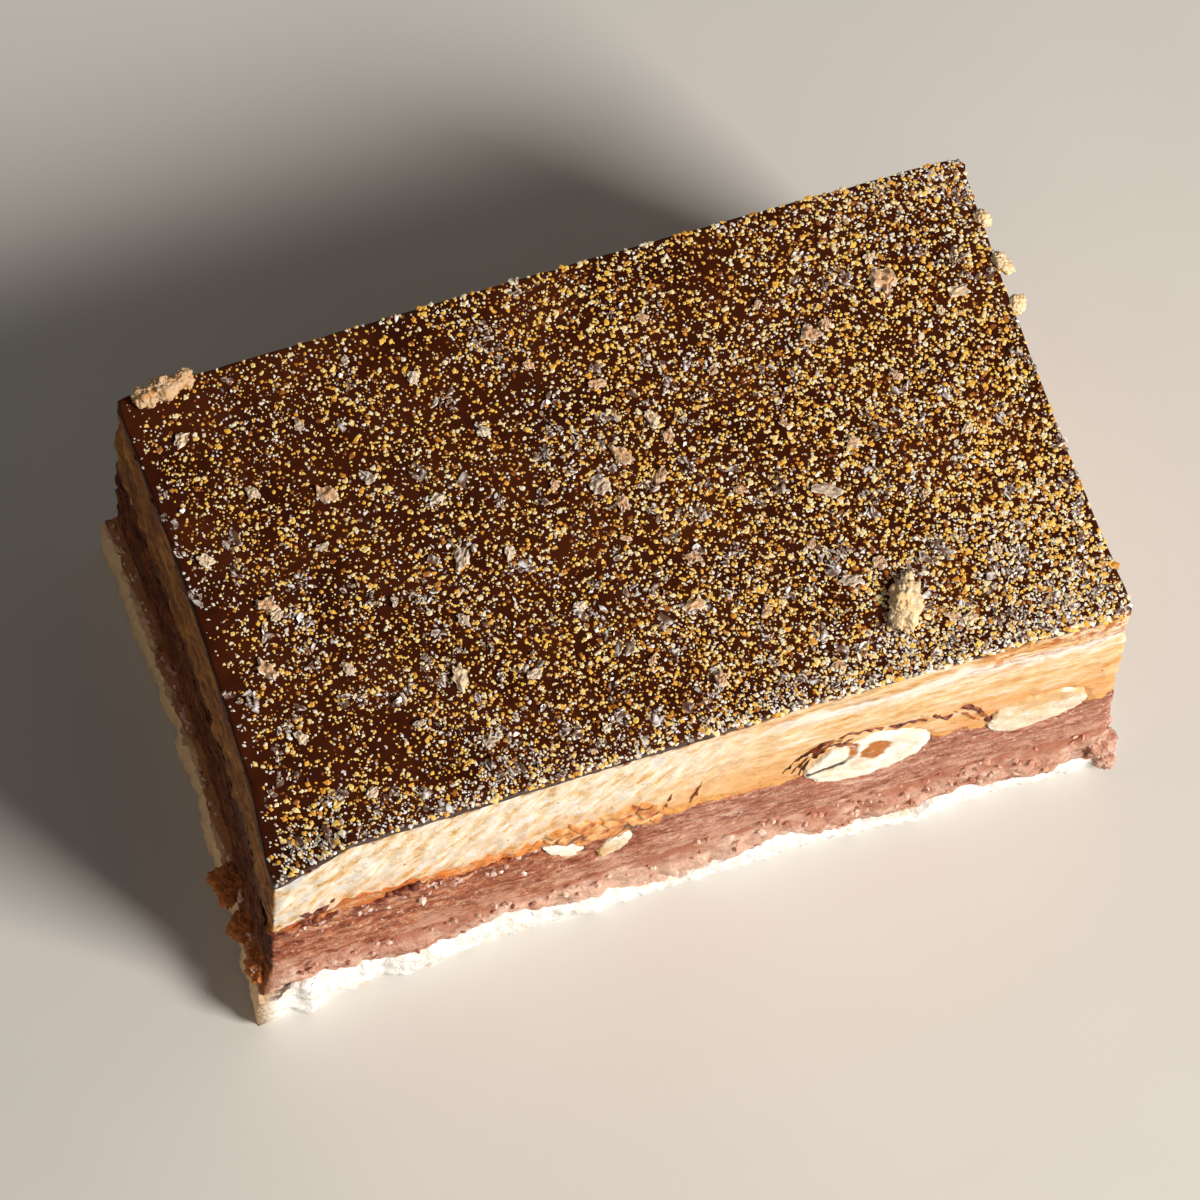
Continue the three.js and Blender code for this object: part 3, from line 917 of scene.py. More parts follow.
def fold(s, t):
    """A place on the crinkled scales: cells that overlap like shingles, with painted shade in the creases
    between them.
    """
    x = FOLDS["from"] + s * (FOLDS["to"] - FOLDS["from"])
    z = FOLDS["middle"] + (2 * t - 1) * FOLDS["half_high"]
    bend = Vector([noise.noise(Vector((x * 0.45, z * 0.45, key))) for key in (8, 19, 30)])
    spot = Vector((x * 0.42 - z * 0.12, z * 0.42, 5)) + 0.5 * bend
    near, cells = noise.voronoi(spot)
    crease = max(0, 1 - (near[1] - near[0]) / 0.11)
    fading = ease(noise.noise(Vector((x * 0.5, z * 0.5, 14))), -0.5, -0.1)
    shingle = 0.34 * (cells[0].y - spot.y) + 0.12 * noise.noise(cells[0] * 7)
    inside = swelling(s, 4) * swelling(t, 2.5) + 0.6 * noise.noise(Vector((x * 0.35, z * 0.4, 2)))
    sunk = 1.3 * seat_depth(outline(x * MM / HALF_LONG, -1, z * MM), FACES["front"][0]) / MM
    lift = ease(inside, 0.1, 0.7) - 0.65 + shingle - 0.1 * crease - sunk
    return x, z, lift, crease * fading - (1 - ease(inside, 0.15, 0.65))


folds = bmesh.new()
front_sheet(folds, along=130, up=60, place=fold)
add_piece("caramel_folds", folds, fold_finish())

# %% [markdown]
# Each shred of skin follows a line of points on the front face, given as x and z in millimetres, and wavers
# beside it. After the points come its half width and how much of its colour is caramel.

# %% Skin shreds
UP_TO_NUT = [(8.8, 21.6), (10, 24.6), (12, 27.2), (14.6, 28.6)]
OVER_NUT = [(18, 28.5), (21, 27.6), (24, 26.6), (25.9, 25.2)]
STRANDS = [
    (UP_TO_NUT + OVER_NUT, 0.13, 0),
    ([(9.9, 21.2), (10.9, 24), (12.4, 26.2), (14.4, 27.5), (17, 27.7)], 0.07, 0.3),
    ([(11, 20), (11.3, 22.6), (12.3, 25.2), (13.8, 26.8), (15.6, 27), (17.6, 26.6)], 0.12, 0),
    ([(14.6, 26.6), (16.2, 26), (17.8, 25)], 0.3, 0),
    ([(25.2, 27.2), (26.4, 26), (27.8, 25.4)], 0.3, 0),
    ([(28, 27), (29.4, 26.6), (30.4, 25), (31.2, 23), (32.2, 20.4)], 0.36, 0),
    ([(27.3, 26.2), (29, 25.3), (30, 23.5), (30.8, 21.4)], 0.08, 0.4),
    ([(-3.7, 21.8), (-3.5, 24), (-3, 26.2), (-2.4, 27)], 0.08, 0.7),
    ([(-0.9, 21.8), (-0.5, 24), (0, 26), (0.5, 28)], 0.08, 0.8),
    ([(-43.4, 25.6), (-42.2, 24), (-41.2, 23.8), (-40.2, 24.8), (-39, 26.2)], 0.45, 0),
    ([(-42.8, 22.8), (-41.6, 21.8), (-40.6, 22.4)], 0.5, 0),
    ([(-34.6, 21.8), (-32.5, 22.6), (-30.6, 23.2), (-28.8, 22.4)], 0.45, 0),
]
TANGENT_STEP = 0.2
SHRED_CELLS = {"for_each_point": 24, "across": 6}


def skin_finish():
    look = Finish("skin", Roughness=0.45)
    look.colour(look.ramp(look.grain(1.0, detail=6), (0.38, "4a180d"), (0.52, "6f2c15"), (0.66, "a8602f")))
    look.coat("c47c3c", look.attribute("shade"))
    look.relief(look.grain(0.4, detail=5), 0.2)
    return look


def shred(points, half, caramel):
    """A wavering shred along a line of points."""
    runs = np.cumsum([0] + [math.dist(*pair) for pair in zip(points, points[1:])])
    xs, zs = zip(*points)

    def on_line(run):
        return np.array([np.interp(run, runs, xs), np.interp(run, runs, zs)])

    def place(s, t):
        run = s * runs[-1]
        ahead = on_line(run + TANGENT_STEP) - on_line(run - TANGENT_STEP)
        across = np.array([-ahead[1], ahead[0]]) / np.linalg.norm(ahead)
        key = sum(points[0]) + half
        waver = 0.3 * noise.noise(Vector((run * 0.8, key, 1)))
        waver += 0.12 * noise.noise(Vector((run * 2.5, key, 3)))
        broad = half * (0.9 + 1.1 * noise.noise(Vector((run * 1.7, key, 5))))
        x, z = on_line(run) + across * (waver + (2 * t - 1) * broad)
        torn = 0.5 * noise.noise(Vector((run * 1.1, key, 9)))
        return x, z, (0.4 + 0.5 * half + torn) * swelling(s, 4) * swelling(t, 2) - 0.2, caramel

    return place


shreds = bmesh.new()
for points, half, caramel in STRANDS:
    cells_along = SHRED_CELLS["for_each_point"] * len(points)
    front_sheet(shreds, cells_along, SHRED_CELLS["across"], shred(points, half, caramel))
add_piece("nut_skin", shreds, skin_finish())

# %% [markdown]
# ## Chocolate glaze
#
# A mirror glaze, poured and set: dark, very smooth and slightly wavy, with a soft rounded edge. It is a
# gridded block whose top edge is bevelled. The waves matter, because a perfectly flat mirror would show the
# lamp in one hard patch.

# %% Glaze
GLAZE_CELL = 0.9 * MM
GLAZE_EDGE = 0.3 * MM
GLAZE_PROUD = 0.12 * MM


def glaze_finish():
    look = Finish("glaze", Roughness=0.25, Specular_IOR_Level=0.06)
    look.colour(look.ramp(look.grain(7, detail=8), (0.35, "361509"), (0.65, "4b210e")))
    look.relief(look.grain(5, detail=2), 0.12)
    look.relief(look.grain(0.5, detail=3), 0.012)
    return look


def glaze_body():
    bm = bmesh.new()
    bmesh.ops.create_cube(bm, size=2)
    divide(bm, (round(2 * HALF_LONG / GLAZE_CELL), round(2 * HALF_WIDE / GLAZE_CELL), 2))
    upper = [e for e in bm.edges if e.verts[0].co.z + e.verts[1].co.z > 2 * ON_FACE]
    rim = [e for e in upper if any(abs(face.normal.z) < LEVEL_LEAST for face in e.link_faces)]
    for vert in bm.verts:
        u, v, level = vert.co
        low = glaze_floor(u, v)
        spot = outline(u, v, low + (level + 1) / 2 * (glaze_roof(u, v) - low))
        proud = GLAZE_PROUD * (1 + noise.noise(spot / MM * 0.5))
        vert.co = spot + outward(u, v) * proud
    bmesh.ops.bevel(bm, geom=rim, offset=GLAZE_EDGE, affect="EDGES", segments=3, profile=0.5, material=-1)
    return bm


add_piece("glaze", glaze_body(), glaze_finish(), ["chocolate_glaze"])

# %% [markdown]
# ## Cut hazelnuts
#
# A hazelnut kernel is ivory inside, with a thin brown skin and a hollow, and a parting line between its
# two halves. The knife left it flat. A sphere with its pole facing out is squeezed into the seat,
# all that would stand out is pressed onto the cutting plane, and the parting line and hollow are sunk
# into that face. Attributes tell the finish where film, hollow and parting line are.


# %% Kernel finish
def kernel_finish():
    look = Finish("hazelnut", Roughness=0.48)
    look.colour(look.ramp(look.grain(2.2, detail=5), (0.3, "f0dfba"), (0.46, "faf2de"), (0.62, "fffdf5")))
    veil = look.patches(1.6, 0.3, 0.56, stretch=(2, 2, 1), detail=5, shift=4)
    look.coat("e0b47a", look.attribute("film"), veil)
    look.coat("b8690f", look.attribute("pith"), look.patches(0.9, 0.22, 0.46, shift=2))
    look.coat("42200f", look.attribute("crack"))
    look.relief(look.grain(0.5, detail=5), 0.1)
    return look


nut_look = kernel_finish()
print("the finish of the kernels has", len(nut_look.tree.nodes), "nodes")

# %% [markdown]
# A place on a cut face is given by two shares, a along the kernel and b across it. The parting line is a
# chain of such places, and the brown hollow lies beside it.

# %% Marks on the cut faces
PARTING = [Vector(spot) for spot in ((-1.02, 0.0), (-0.47, 0.07), (-0.27, 0.52), (-0.3, 1.0))]
HOLLOW = {"middle": (0.08, 0.3), "half": (0.24, 0.44)}
FILMED = {"hazelnut_front_pale": (0.2, 0.9, 0.5), "hazelnut_chip_middle": (-0.9, 0.2, 0)}


def parting_distance(spot):
    """How far a place lies from the parting line."""
    legs = zip(PARTING, PARTING[1:])
    return min((spot - nearest_on_leg(spot, *leg)).length for leg in legs)


def nearest_on_leg(spot, start, end):
    """The point of a leg that is nearest to a place."""
    leg = end - start
    return start + leg * ease((spot - start).dot(leg) / leg.length_squared, 0, 1)


def kernel_marks(a, b):
    """Depth in millimetres, pith and crack at a place of a split kernel's cut face."""
    ragged = 0.09 * noise.noise(Vector((a * 6, b * 6, 2))) + 0.05 * noise.noise(Vector((a * 15, b * 15, 4)))
    line = ease(parting_distance(Vector((a, b))) + 0.4 * ragged, 0.1, 0.045)
    sides = zip((a, b), HOLLOW["middle"], HOLLOW["half"])
    ring = math.hypot(*((at - middle) / half for at, middle, half in sides))
    hollow = ease(ring + 2.5 * ragged, 1.1, 0.9)
    stain = 0.5 * bell(math.hypot(a + 0.2, b + 0.12), 0.14)
    browned = ease(b, 0.1, 0.4)
    return 0.1 * line + 0.1 * hollow, min(1, hollow + stain + line * browned), line * (1 - browned)


def kernel_film(node, a, b):
    """How much of the nut's own tan film is left at a place."""
    if node not in FILMED:
        return 0
    across, along, least = FILMED[node]
    return max(ease(across * a + along * b, -0.5, 0.4), least)


print("the parting line has", len(PARTING) - 1, "legs")

# %% Kernels
SPLIT_LEAST = 5.5 * MM
LARGE_KERNEL = {"sides": 160, "rings": 110, "chipping": 0.14}
SMALL_KERNEL = {"sides": 90, "rings": 60, "chipping": 0.3}
NUT_DEEP = 0.74
NUT_SUNK = 1 - NUT_DEEP
NUT_POINT = 0.16
RIM_START = 0.9
RIM_ROUND = 14


def kernel(node, seat):
    """A kernel in its seat, flat at the cut and parted if it is a large one."""
    bm = bmesh.new()
    large = seat.wide > SPLIT_LEAST
    build = LARGE_KERNEL if large else SMALL_KERNEL
    bmesh.ops.create_uvsphere(bm, u_segments=build["sides"], v_segments=build["rings"], radius=1)
    pith, crack, film = (bm.verts.layers.float.new(name) for name in ("pith", "crack", "film"))
    split = large and node not in FILMED
    cut_ring = math.sqrt(1 - (NUT_SUNK / NUT_DEEP) ** 2)
    for vert in bm.verts:
        a, b, c = vert.co
        a, b = a / cut_ring, b / cut_ring
        out = min(0, c * NUT_DEEP - NUT_SUNK) * seat.deep
        sunk = 0
        vert[film] = kernel_film(node, a, b)
        if out == 0:
            sunk = RIM_ROUND * max(0, math.hypot(a, b) - RIM_START) ** 2
            if split:
                depth, vert[pith], vert[crack] = kernel_marks(a, b)
                sunk += depth
        broken = noise.fractal(Vector((a * 1.5, b * 1.5, seat.middle.x / MM)), *SOFT)
        chip = 1 + build["chipping"] * (broken - 0.4)
        narrow = chip * (1 - NUT_POINT * max(0, a))
        spot = seat.middle + seat.side * a * chip * seat.wide + seat.up * b * narrow * seat.high
        rough = 0.16 * noise.fractal(spot / MM * 0.6, 0.8, 2, 3) - 0.08
        vert.co = spot + seat.look * (out + (rough - sunk) * MM)
    bmesh.ops.recalc_face_normals(bm, faces=bm.faces)
    return bm


for node, seat in SEATS.items():
    add_piece(node.replace("hazelnut", "kernel"), kernel(node, seat), nut_look, [node])

# %% [markdown]
# ## Broken crumbs
#
# A few crumbs are large enough to have a shape of their own: a porous piece of sponge on the glaze, a row
# at the back left edge, three at the right edge, and lumps of praline low on the left end and at the front
# right corner. Each is a finely divided ball, stretched to the size of the lump in the solid and pitted,
# with smaller ones stuck to it. Those on the glaze are warmer at the right and browner at the left, where
# the brown is painted shade, and the praline lumps at the left end are painted darker as shade too.

# %% Crumb tools
CRUMB_LUMPS = [(0.16, 0.9), (0.1, 0.4)]
CRUMB_LEAST = 0.72
SATELLITES = 6
SATELLITE_OUT = 0.62
SATELLITE_SIZE = (0.3, 0.55)


def add_crumb(bm, at, half, turned=0.0, detail=5):
    """A pitted crumb out of round, with its place and half sizes in millimetres."""
    spin = Quaternion((0, 0, 1), turned)
    middle = Vector(at)
    for vert in bmesh.ops.create_icosphere(bm, subdivisions=detail, radius=1)["verts"]:
        arm = spin @ Vector([way * size for way, size in zip(vert.co, half)])
        spot = middle + arm
        swell = lumps_of(spot, CRUMB_LUMPS, CRUMB_LEAST) + 0.32 * noise.fractal(spot * 0.8, *TORN)
        vert.co = (middle + arm * swell) * MM


def crumb_group(name, crumbs_seen, finish, draw):
    """One piece of crumbs, each with smaller ones on its surface. Those at the left end are marked for
    painted shade.
    """
    bm = bmesh.new()
    for at, half, turned in crumbs_seen:
        add_crumb(bm, at, half, turned)
        for _ in range(SATELLITES):
            way = draw.normal(size=3)
            way /= np.linalg.norm(way)
            small = min(half) * draw.uniform(*SATELLITE_SIZE, size=3)
            add_crumb(bm, np.array(at) + way * np.array(half) * SATELLITE_OUT, small, detail=3)
    left = bm.verts.layers.float.new("left")
    for vert in bm.verts:
        vert[left] = float(vert.co.x < 0)
    add_piece(name, bm, finish)


print("each crumb carries", SATELLITES, "smaller ones")

# %% Crumbs
CRUMB_SEED = 5
TOP_CRUMB = [((23.9, -19.2, 41.6), (1.9, 3.5, 1.25), -0.36)]
BACK_CRUMBS = [
    ((-43, 25.8, 41.3), (1.6, 1.4, 1.3), 0),
    ((-41, 26.2, 41.4), (1.8, 1.5, 1.5), 0),
    ((-38.9, 26.7, 41.2), (1.6, 1.2, 1.2), 0),
]
EDGE_CRUMBS = [
    ((46, 19.4, 40.9), (0.9, 1.3, 0.8), 0.5),
    ((46.2, 14, 40.8), (1, 1.6, 0.9), 0.3),
    ((46.2, 9.3, 40.7), (1.1, 1.3, 0.9), -0.4),
]
PRALINE_CRUMBS = [
    ((-47.1, -15.6, 8), (2.4, 2.6, 1.9), 0),
    ((-47, -20.5, 7.7), (2, 2.2, 1.7), 0),
    ((-46.5, -25, 7.7), (2, 2.2, 2), 0),
    ((45.4, -24.7, 6.9), (2.2, 2.4, 2.9), 0),
    ((45.7, -27.1, 5.4), (2.1, 1.7, 2.3), 0),
    ((46.4, -28, 2.2), (1.5, 1.2, 1.8), 0),
]


def crumb_finish():
    look = Finish("sponge_crumb", Roughness=0.85)
    pores = look.grain(0.9, detail=8, rough=0.65)
    look.colour(look.ramp(pores, (0.34, "cf9250"), (0.45, "fbd6a2"), (0.58, "fff2d8")))
    look.coat("ffdca8", look.along("X", 10, 20), 0.55)
    # Painted shade: crumbs towards the back left are browner because they lie in shade.
    look.coat("c8945e", look.along("X", 0, -30), 0.6)
    look.relief(look.grain(0.3, detail=6), 0.2)
    return look


draw = np.random.default_rng(CRUMB_SEED)
crumb_group("crumbs_top", TOP_CRUMB + BACK_CRUMBS + EDGE_CRUMBS, crumb_finish(), draw)
# The praline lumps at the left end lie in shade and are painted darker as painted shade.
praline_crumb = praline_finish("praline_crumb", shaded="d67a30")
crumb_group("crumbs_praline", PRALINE_CRUMBS, praline_crumb, draw)

# %% [markdown]
# ## Many small things
#
# Gold dust, sugar shards and fine crumbs are too many to model one by one. One small shape is copied by
# arrays: every copy gets its own place, size, turn, tilt and tint, and its corners are shaken so that no
# two are alike. The copies are joined in one mesh. All draws come from seeded generators, so each run is
# the same.


# %% Copies by arrays
def small_shape(operator, **sizes):
    """The corners and triangles of a bmesh shape, as arrays."""
    bm = bmesh.new()
    operator(bm, **sizes)
    bmesh.ops.triangulate(bm, faces=bm.faces)
    corners = np.array([vert.co for vert in bm.verts])
    faces = np.array([[vert.index for vert in face.verts] for face in bm.faces])
    bm.free()
    return corners, faces


def turned_copies(corners, count, draw, tilt):
    """Corners for each copy, tilted about a level axis and turned about the upright one."""
    lean = tilt * draw.normal(size=(count, 1))
    y = corners[..., 1] * np.cos(lean) - corners[..., 2] * np.sin(lean)
    z = corners[..., 1] * np.sin(lean) + corners[..., 2] * np.cos(lean)
    turned = draw.random((count, 1)) * 2 * math.pi
    across = corners[..., 0] * np.cos(turned) - y * np.sin(turned)
    along = corners[..., 0] * np.sin(turned) + y * np.cos(turned)
    return np.stack([across, along, z], axis=-1)


def joined_copies(name, shape, spots, halves, draw, finish, tilt=0.3, shake=0.4, mottled=False):
    """One piece of copies of a shape, with half sizes along, across and up for each.

    A copy has one tint all over, or one for each corner if it is mottled.
    """
    corners, faces = shape
    count = len(spots)
    shaken = 1 + shake * (draw.random((count, len(corners), 1)) - 0.5)
    places = turned_copies(corners * halves[:, None] * shaken, count, draw, tilt) + spots[:, None]
    numbers = faces + np.arange(count)[:, None, None] * len(corners)
    mesh = bpy.data.meshes.new(name)
    mesh.from_pydata(places.reshape(-1, 3), [], numbers.reshape(-1, 3))
    tints = draw.random((count, len(corners) if mottled else 1))
    tints = np.broadcast_to(tints, (count, len(corners))).astype(np.float32)
    mesh.attributes.new("tint", "FLOAT", "POINT").data.foreach_set("value", tints.ravel())
    ride_piece(name, mesh, finish, smooth=False)


def tinted(name, roughness, stops):
    """A finish whose colour is picked by the tint of each copy."""
    look = Finish(name, Roughness=roughness)
    look.colour(look.ramp(look.attribute("tint"), *stops))
    return look


BALL = small_shape(bmesh.ops.create_icosphere, subdivisions=1, radius=1)
SPECK = small_shape(bmesh.ops.create_cone, cap_ends=True, segments=5, radius1=1, radius2=0, depth=2)
print("a ball has", len(BALL[1]), "faces and a speck", len(SPECK[1]))

# %% [markdown]
# ## Gold dust
#
# Edible gold dust was blown over the glaze from the right: thousands of soft specks, a few tenths of a
# millimetre across, dense on the right and thin at the back left. Each speck is a low pyramid. Places are
# drawn evenly and kept or dropped by a density that falls to the left and clumps. Dust and larger flecks
# are two pieces. Towards the front edge the specks catch the light, and those glints are painted as one
# more, paler scatter.

# %% Places on the glaze
MARGIN = 0.999
FRONT_MARGIN = 1.014
EDGE_PROUD = 0.26 * MM
SPECK_GROWTH = 0.08
SPECK_SPREAD = 0.33
SPREAD_MOST = 1.7
SPECK_LONG = (1, 1.4)
SPECK_HIGH = 0.18


def top_spot(u, v, lift):
    """A place on the glaze for two shares. Past -1 the place slides over the front edge."""
    over = max(0, -1 - v) * HALF_WIDE
    v = max(v, -1)
    spot = outline(u, v, glaze_roof(u, v) + lift - over)
    spot.y -= EDGE_PROUD * ease(over, 0, GLAZE_EDGE)
    return spot


def top_spots(shares, lift=0.0):
    return np.array([top_spot(u, v, lift) for u, v in shares])


def scattered(count, density, draw):
    """Shares u and v, drawn evenly and kept by their density."""
    kept = []
    while len(kept) < count:
        u, v, chance = draw.uniform((-MARGIN, -FRONT_MARGIN, 0), (MARGIN, MARGIN, 1))
        if chance < density(u, v):
            kept.append((u, v))
    return np.array(kept)


def speck_halves(shares, half, draw):
    """Half sizes of specks, larger towards the right."""
    spread = np.minimum(draw.normal(size=len(shares)), SPREAD_MOST)
    size = half * (1 + SPECK_GROWTH * shares[:, 0]) * np.exp(SPECK_SPREAD * spread)
    return np.stack([size * draw.uniform(*SPECK_LONG, len(shares)), size, size * SPECK_HIGH], axis=-1)


print("the middle of the glaze lies at", round(glaze_roof(0, 0) / MM, 2), "mm")

# %% Gold
GOLD = {"gold_dust": (17500, 0.178 * MM), "gold_flecks": (9400, 0.27 * MM)}
GOLD_SEED = 11
GOLD_TINTS = [
    (0, "84431a"),
    (0.12, "b46c20"),
    (0.25, "f8b040"),
    (0.48, "ffd05a"),
    (0.72, "ffe294"),
    (1, "fff6de"),
]


def gold_density(u, v):
    """The chance that a speck stays: higher to the right and front, in clumps of two sizes."""
    clump = noise.noise(Vector((u * 4.1, v * 2.4, 3))) + 0.5 * noise.noise(Vector((u * 13, v * 8, 9)))
    return (0.45 + 0.16 * u - 0.055 * v + 0.22 * clump) * ease(u, -0.99, -0.95)


draw = np.random.default_rng(GOLD_SEED)
gold_look = tinted("gold_dust", 0.4, GOLD_TINTS)
for name, (count, half) in GOLD.items():
    shares = scattered(count, gold_density, draw)
    halves = speck_halves(shares, half, draw)
    joined_copies(name, SPECK, top_spots(shares), halves, draw, gold_look, tilt=0.2)

# %% Painted glints
GLINT_COUNT = 7500
GLINT_HALF = 0.175 * MM
GLINT_SEED = 13


def glint_density(u, v):
    """The chance that a painted glint stays: high along the front edge and at the back right corner."""
    clump = noise.noise(Vector((u * 5, v * 3, 21)))
    front_right = ease(u, -0.1, 0.9) * ease(v, -0.35, -0.9)
    back_right = bell(math.hypot(u - 1, v - 1), 0.3)
    return 0.07 + 0.42 * ease(v, -0.84, -1) + 0.35 * front_right + 0.4 * back_right + 0.16 * clump


draw = np.random.default_rng(GLINT_SEED)
# Pale specks painted as glints where the gold catches the light, most along the front edge.
glint_look = tinted("painted_glints", 0.3, [(0, "8a7768"), (0.35, "d9cec2"), (0.8, "fffcf6")])
shares = scattered(GLINT_COUNT, glint_density, draw)
halves = speck_halves(shares, GLINT_HALF, draw)
joined_copies("painted_glints", SPECK, top_spots(shares), halves, draw, glint_look, tilt=0.3)

# %% [markdown]
# ## Sugar shards
#
# Between the gold lie clear sugar shards, dark where the glaze shows through and white where an edge
# catches the light. They fell in little heaps, more of them towards the front. Heap centres are drawn
# first and shards around each one, as thin slivers with a strong tilt.

# %% Sugar
HEAPS = 280
HEAP_SHARDS = 8
HEAP_HALF = 0.5 * MM
SHARD_HALF = 0.2 * MM
SHARD_SHAPE = (1.5, 0.9, 0.2)
SHARD_SPREAD = 0.4
SHARD_LIFT = 0.08 * MM
SHARD_SEED = 23
SHARD_TINTS = [(0, "4d2815"), (0.45, "80604e"), (0.7, "d9cec8"), (0.85, "ffffff")]


def sugar_density(u, v):
    """The chance that a heap stays: higher towards the front."""
    return 0.4 - 0.25 * v + 0.4 * noise.noise(Vector((u * 3.2, v * 2, 17)))


draw = np.random.default_rng(SHARD_SEED)
shares = np.repeat(scattered(HEAPS, sugar_density, draw), HEAP_SHARDS, axis=0)
shares += draw.normal(size=shares.shape) * np.array([HEAP_HALF / HALF_LONG, HEAP_HALF / HALF_WIDE])
size = SHARD_HALF * np.exp(SHARD_SPREAD * draw.normal(size=len(shares)))
halves = size[:, None] * np.array(SHARD_SHAPE)
spots = top_spots(np.clip(shares, -MARGIN, MARGIN), SHARD_LIFT)
shard_look = tinted("sugar", 0.14, SHARD_TINTS)
joined_copies("sugar_shards", BALL, spots, halves, draw, shard_look, tilt=0.6, shake=0.7, mottled=True)

# %% [markdown]
# ## Wafer flakes
#
# Crushed wafer lies on the glaze as tan and grey flakes, the largest over four millimetres long. The solid
# of the glaze carries them as lumps, so the same places and the same spreading rule return here. Each flake
# is a ball pressed flat, with a ragged rim and a crumpled face. Its rim is paler, because it is thinner.

# %% Flakes
LARGE_FLAKES = [
    ((33.8, 15.8), (1.8, 1.4), -0.9),
    ((20.2, -4.7), (2.2, 0.85), -0.55),
    ((40.8, 12.3), (1.25, 0.9), 0),
    ((24.5, 12.3), (1.3, 1), -0.6),
    ((1.6, 5.1), (1.5, 0.7), -1),
    ((-1.7, 2.4), (1.2, 0.95), 0.75),
    ((5.8, 8.3), (1.1, 0.7), -1.15),
    ((4.7, 1.8), (1.2, 0.6), 1),
    ((3.4, -12.8), (1.3, 0.8), 0.15),
    ((19.4, -15.1), (1.2, 0.7), -0.1),
    ((29.6, -22.7), (1.1, 0.8), 0.2),
    ((-28.6, 10.1), (1.4, 0.95), -0.85),
    ((-38, 0.2), (1.3, 1.1), -0.3),
    ((-17.6, -0.9), (1.5, 0.9), 1.1),
    ((-21.9, -13.3), (1.5, 1), -1.5),
    ((-40.2, -6.6), (1.5, 1), -1),
]
SMALL_FLAKES = 52
SMALL_LONG = 1.05
SMALL_SHORT = 0.6
FLAKE_BROAD = 0.7
FLAKE_FLAT = 0.24
FLAKE_MARGIN = 2.6
SPREAD = {"x": 0.7548776662, "y": 0.569840291, "turn": 0.6180339887}


def small_flake(n):
    """The place, half sizes and turn of a small flake, in millimetres."""
    share = {key: (0.5 + n * step) % 1 for key, step in SPREAD.items()}
    size = SMALL_LONG + (SMALL_SHORT - SMALL_LONG) * n / SMALL_FLAKES
    x = (2 * share["x"] - 1) * (HALF_LONG / MM - FLAKE_MARGIN)
    y = (2 * share["y"] - 1) * (HALF_WIDE / MM - FLAKE_MARGIN)
    return (x, y), (size, size * FLAKE_BROAD), share["turn"] * math.pi


def flake_finish():
    look = Finish("wafer", Roughness=0.55)
    stops = [(0, "e8bc90"), (0.3, "d4a880"), (0.55, "f0d8b4"), (0.8, "c8b2a0"), (1, "fbe8cc")]
    look.colour(look.ramp(look.attribute("tint"), *stops))
    look.coat("7a4a2c", look.patches(0.6, 0.5, 0.62, detail=5), 0.5)
    look.coat("fff2e0", look.attribute("rim"), 0.8)
    look.relief(look.grain(0.4, detail=5), 0.2)
    return look


print("of the flakes", len(LARGE_FLAKES), "are placed and", SMALL_FLAKES, "are spread")


# %% Flakes in one piece
def add_flake(bm, number, at, half, turned):
    """One flake, ragged by its number, with its place and half sizes in millimetres."""
    tint = bm.verts.layers.float["tint"]
    rim = bm.verts.layers.float["rim"]
    spin = Quaternion((0, 0, 1), turned)
    x, y = at
    level = glaze_roof(x * MM / HALF_LONG, y * MM / HALF_WIDE) / MM
    for vert in bmesh.ops.create_icosphere(bm, subdivisions=3, radius=1)["verts"]:
        way = vert.co.copy()
        ragged = 0.85 + 0.55 * noise.noise(Vector((way.x * 1.9, way.y * 1.9, number * 3.7)))
        crumple = noise.noise(Vector((way.x * 2.6, way.y * 2.6, number * 5.3)))
        up = way.z * FLAKE_FLAT * half[1] + 0.5 * half[1] * crumple + 0.2
        arm = spin @ Vector((way.x * ragged * half[0], way.y * ragged * half[1], up))
        vert[tint] = (number * SPREAD["x"]) % 1
        vert[rim] = ease(math.hypot(way.x, way.y), 0.8, 1)
        vert.co = (Vector((x, y, level)) + arm) * MM


flakes = bmesh.new()
flakes.verts.layers.float.new("tint")
flakes.verts.layers.float.new("rim")
for number, flake in enumerate(LARGE_FLAKES + [small_flake(n) for n in range(SMALL_FLAKES)]):
    add_flake(flakes, number, *flake)
add_piece("wafer_flakes", flakes, flake_finish(), smooth=False)

# %% [markdown]
# ## Fine crumbs on the lower faces
#
# Where the knife came down through crisp and sponge it left loose grains hanging on the face, and a few
# sugar grains stick to the mousse at the left. They break up the clean line between the layers. Places
# for the crumbs are drawn along the four sides and carried onto the solid by rays.

# %% Fine crumbs
GRAIN_COUNT = 420
GRAIN_HALF = 0.28 * MM
GRAIN_SPREAD = 0.35
GRAIN_SUNK = 0.15 * MM
GRAIN_TOP = 11 * MM
GRAIN_SEED = 41
GRAIN_TINTS = [(0, "9a5f4a"), (0.3, "c98f76"), (0.7, "dfb49c"), (1, "f0d6c4")]


def side_spot(draw):
    """A share of the outline on one of the four sides, drawn by their lengths."""
    along = draw.uniform(-1, 1)
    end = draw.choice((-1, 1))
    return (along, end) if draw.random() < HALF_LONG / (HALF_LONG + HALF_WIDE) else (end, along)


def grain_spot(draw):
    """A place on the broken side of the crisp."""
    u, v = side_spot(draw)
    z = draw.uniform(praline_floor(u, v) + GRAIN_HALF, GRAIN_TOP)
    look = outward(u, v)
    return on_solid(CRUMBLY["praline_crisp"], outline(u, v, z), look) - look * GRAIN_SUNK


draw = np.random.default_rng(GRAIN_SEED)
spots = np.array([grain_spot(draw) for _ in range(GRAIN_COUNT)])
halves = GRAIN_HALF * np.exp(GRAIN_SPREAD * draw.normal(size=(GRAIN_COUNT, 3)))
grain_look = tinted("grain", 0.8, GRAIN_TINTS)
joined_copies("fine_crumbs", BALL, spots, halves, draw, grain_look, tilt=1, shake=0.5)

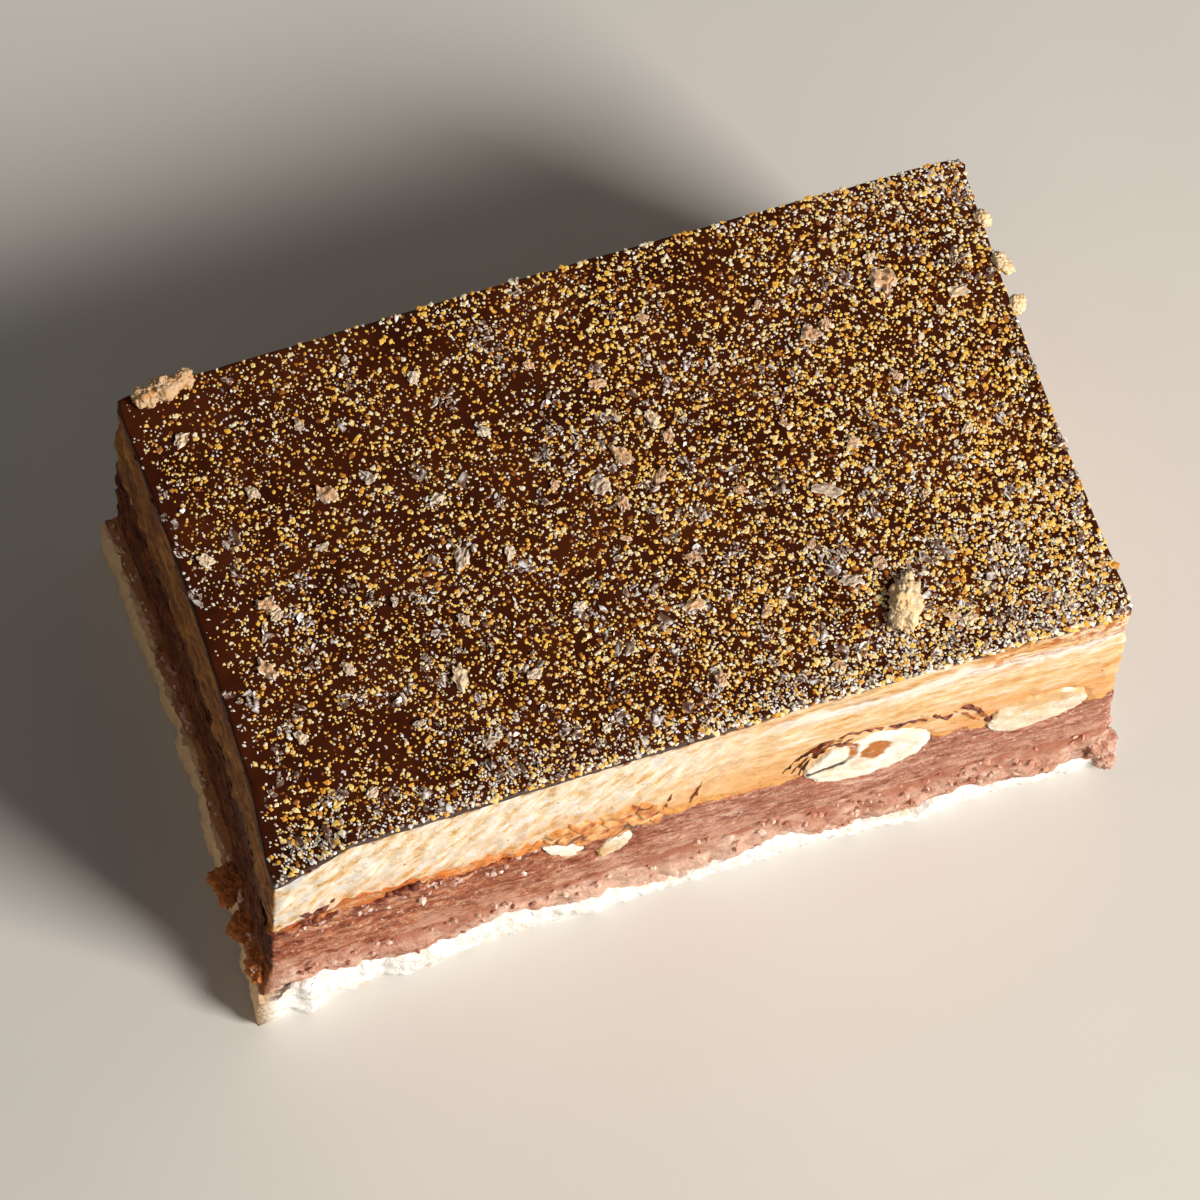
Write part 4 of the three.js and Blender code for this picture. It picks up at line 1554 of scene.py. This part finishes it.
# %% Sugar grains on the mousse
SUGAR_COUNT = 46
SUGAR_HALF = 0.3 * MM
SUGAR_SPREAD = 0.3
SUGAR_STRETCH = (-0.95, -0.38)
SUGAR_FALL = 1.6 * MM
SUGAR_SEED = 43


def mousse_spot(draw):
    """A place on the front of the mousse, most often just under the caramel."""
    u = draw.uniform(*SUGAR_STRETCH)
    z = caramel_floor(u, -1) - draw.exponential(SUGAR_FALL)
    return outline(u, -1, z)


draw = np.random.default_rng(SUGAR_SEED)
spots = np.array([mousse_spot(draw) for _ in range(SUGAR_COUNT)])
halves = SUGAR_HALF * np.exp(SUGAR_SPREAD * draw.normal(size=(SUGAR_COUNT, 3)))
sugar_look = tinted("sugar_grain", 0.3, [(0, "b98473"), (1, "f0d6c8")])
joined_copies("sugar_grains", BALL, spots, halves, draw, sugar_look, tilt=1, shake=0.5)

# %% [markdown]
# ## Floor and light
#
# A pale floor and soft lamps, as in a small studio. The key lamp stands at the front right, so the front
# face is bright and the left one falls into shade. No lamp stands where the glaze would mirror it into
# the camera.

# %% Floor
FLOOR_HALF = 3.0


def floor_finish():
    look = Finish("floor", Roughness=0.7)
    look.colour(look.ramp(look.grain(60, detail=3), (0.3, "d4d1cc"), (0.7, "d9d6d2")))
    return look


ground = bmesh.new()
bmesh.ops.create_grid(ground, x_segments=1, y_segments=1, size=FLOOR_HALF)
ground_mesh = bpy.data.meshes.new("floor")
ground.to_mesh(ground_mesh)
ground.free()
ground_mesh.materials.append(floor_finish().material)
floor = bpy.data.objects.new("floor", ground_mesh)
bpy.context.scene.collection.objects.link(floor)
print("the floor reaches", FLOOR_HALF, "m each way")

# %% Lamps
LAMPS = {
    "key": {"from": (0.45, -0.52, 0.55), "size": 0.3, "watts": 9.8, "colour": (1, 0.95, 0.88)},
    "fill": {"from": (-0.6, -0.35, 0.5), "size": 0.6, "watts": 0.15, "colour": (1, 0.9, 0.78)},
}
WORLD_LIGHT = 0.12
WORLD_TINT = (1, 0.96, 0.9, 1)


def add_lamp(name, spec):
    lamp = bpy.data.lights.new(name, "AREA")
    lamp.size = spec["size"]
    lamp.energy = spec["watts"]
    lamp.color = spec["colour"]
    holder = bpy.data.objects.new(name, lamp)
    holder.location = spec["from"]
    holder.rotation_euler = (-Vector(spec["from"])).to_track_quat("-Z", "Y").to_euler()
    bpy.context.scene.collection.objects.link(holder)


for name, spec in LAMPS.items():
    add_lamp(name, spec)
world = bpy.data.worlds.new("studio")
world.use_nodes = True
sky = world.node_tree.nodes["Background"].inputs
sky["Strength"].default_value = WORLD_LIGHT
sky["Color"].default_value = WORLD_TINT
bpy.context.scene.world = world
bpy.context.scene.view_settings.view_transform = "Standard"
print("lamps:", ", ".join(LAMPS))
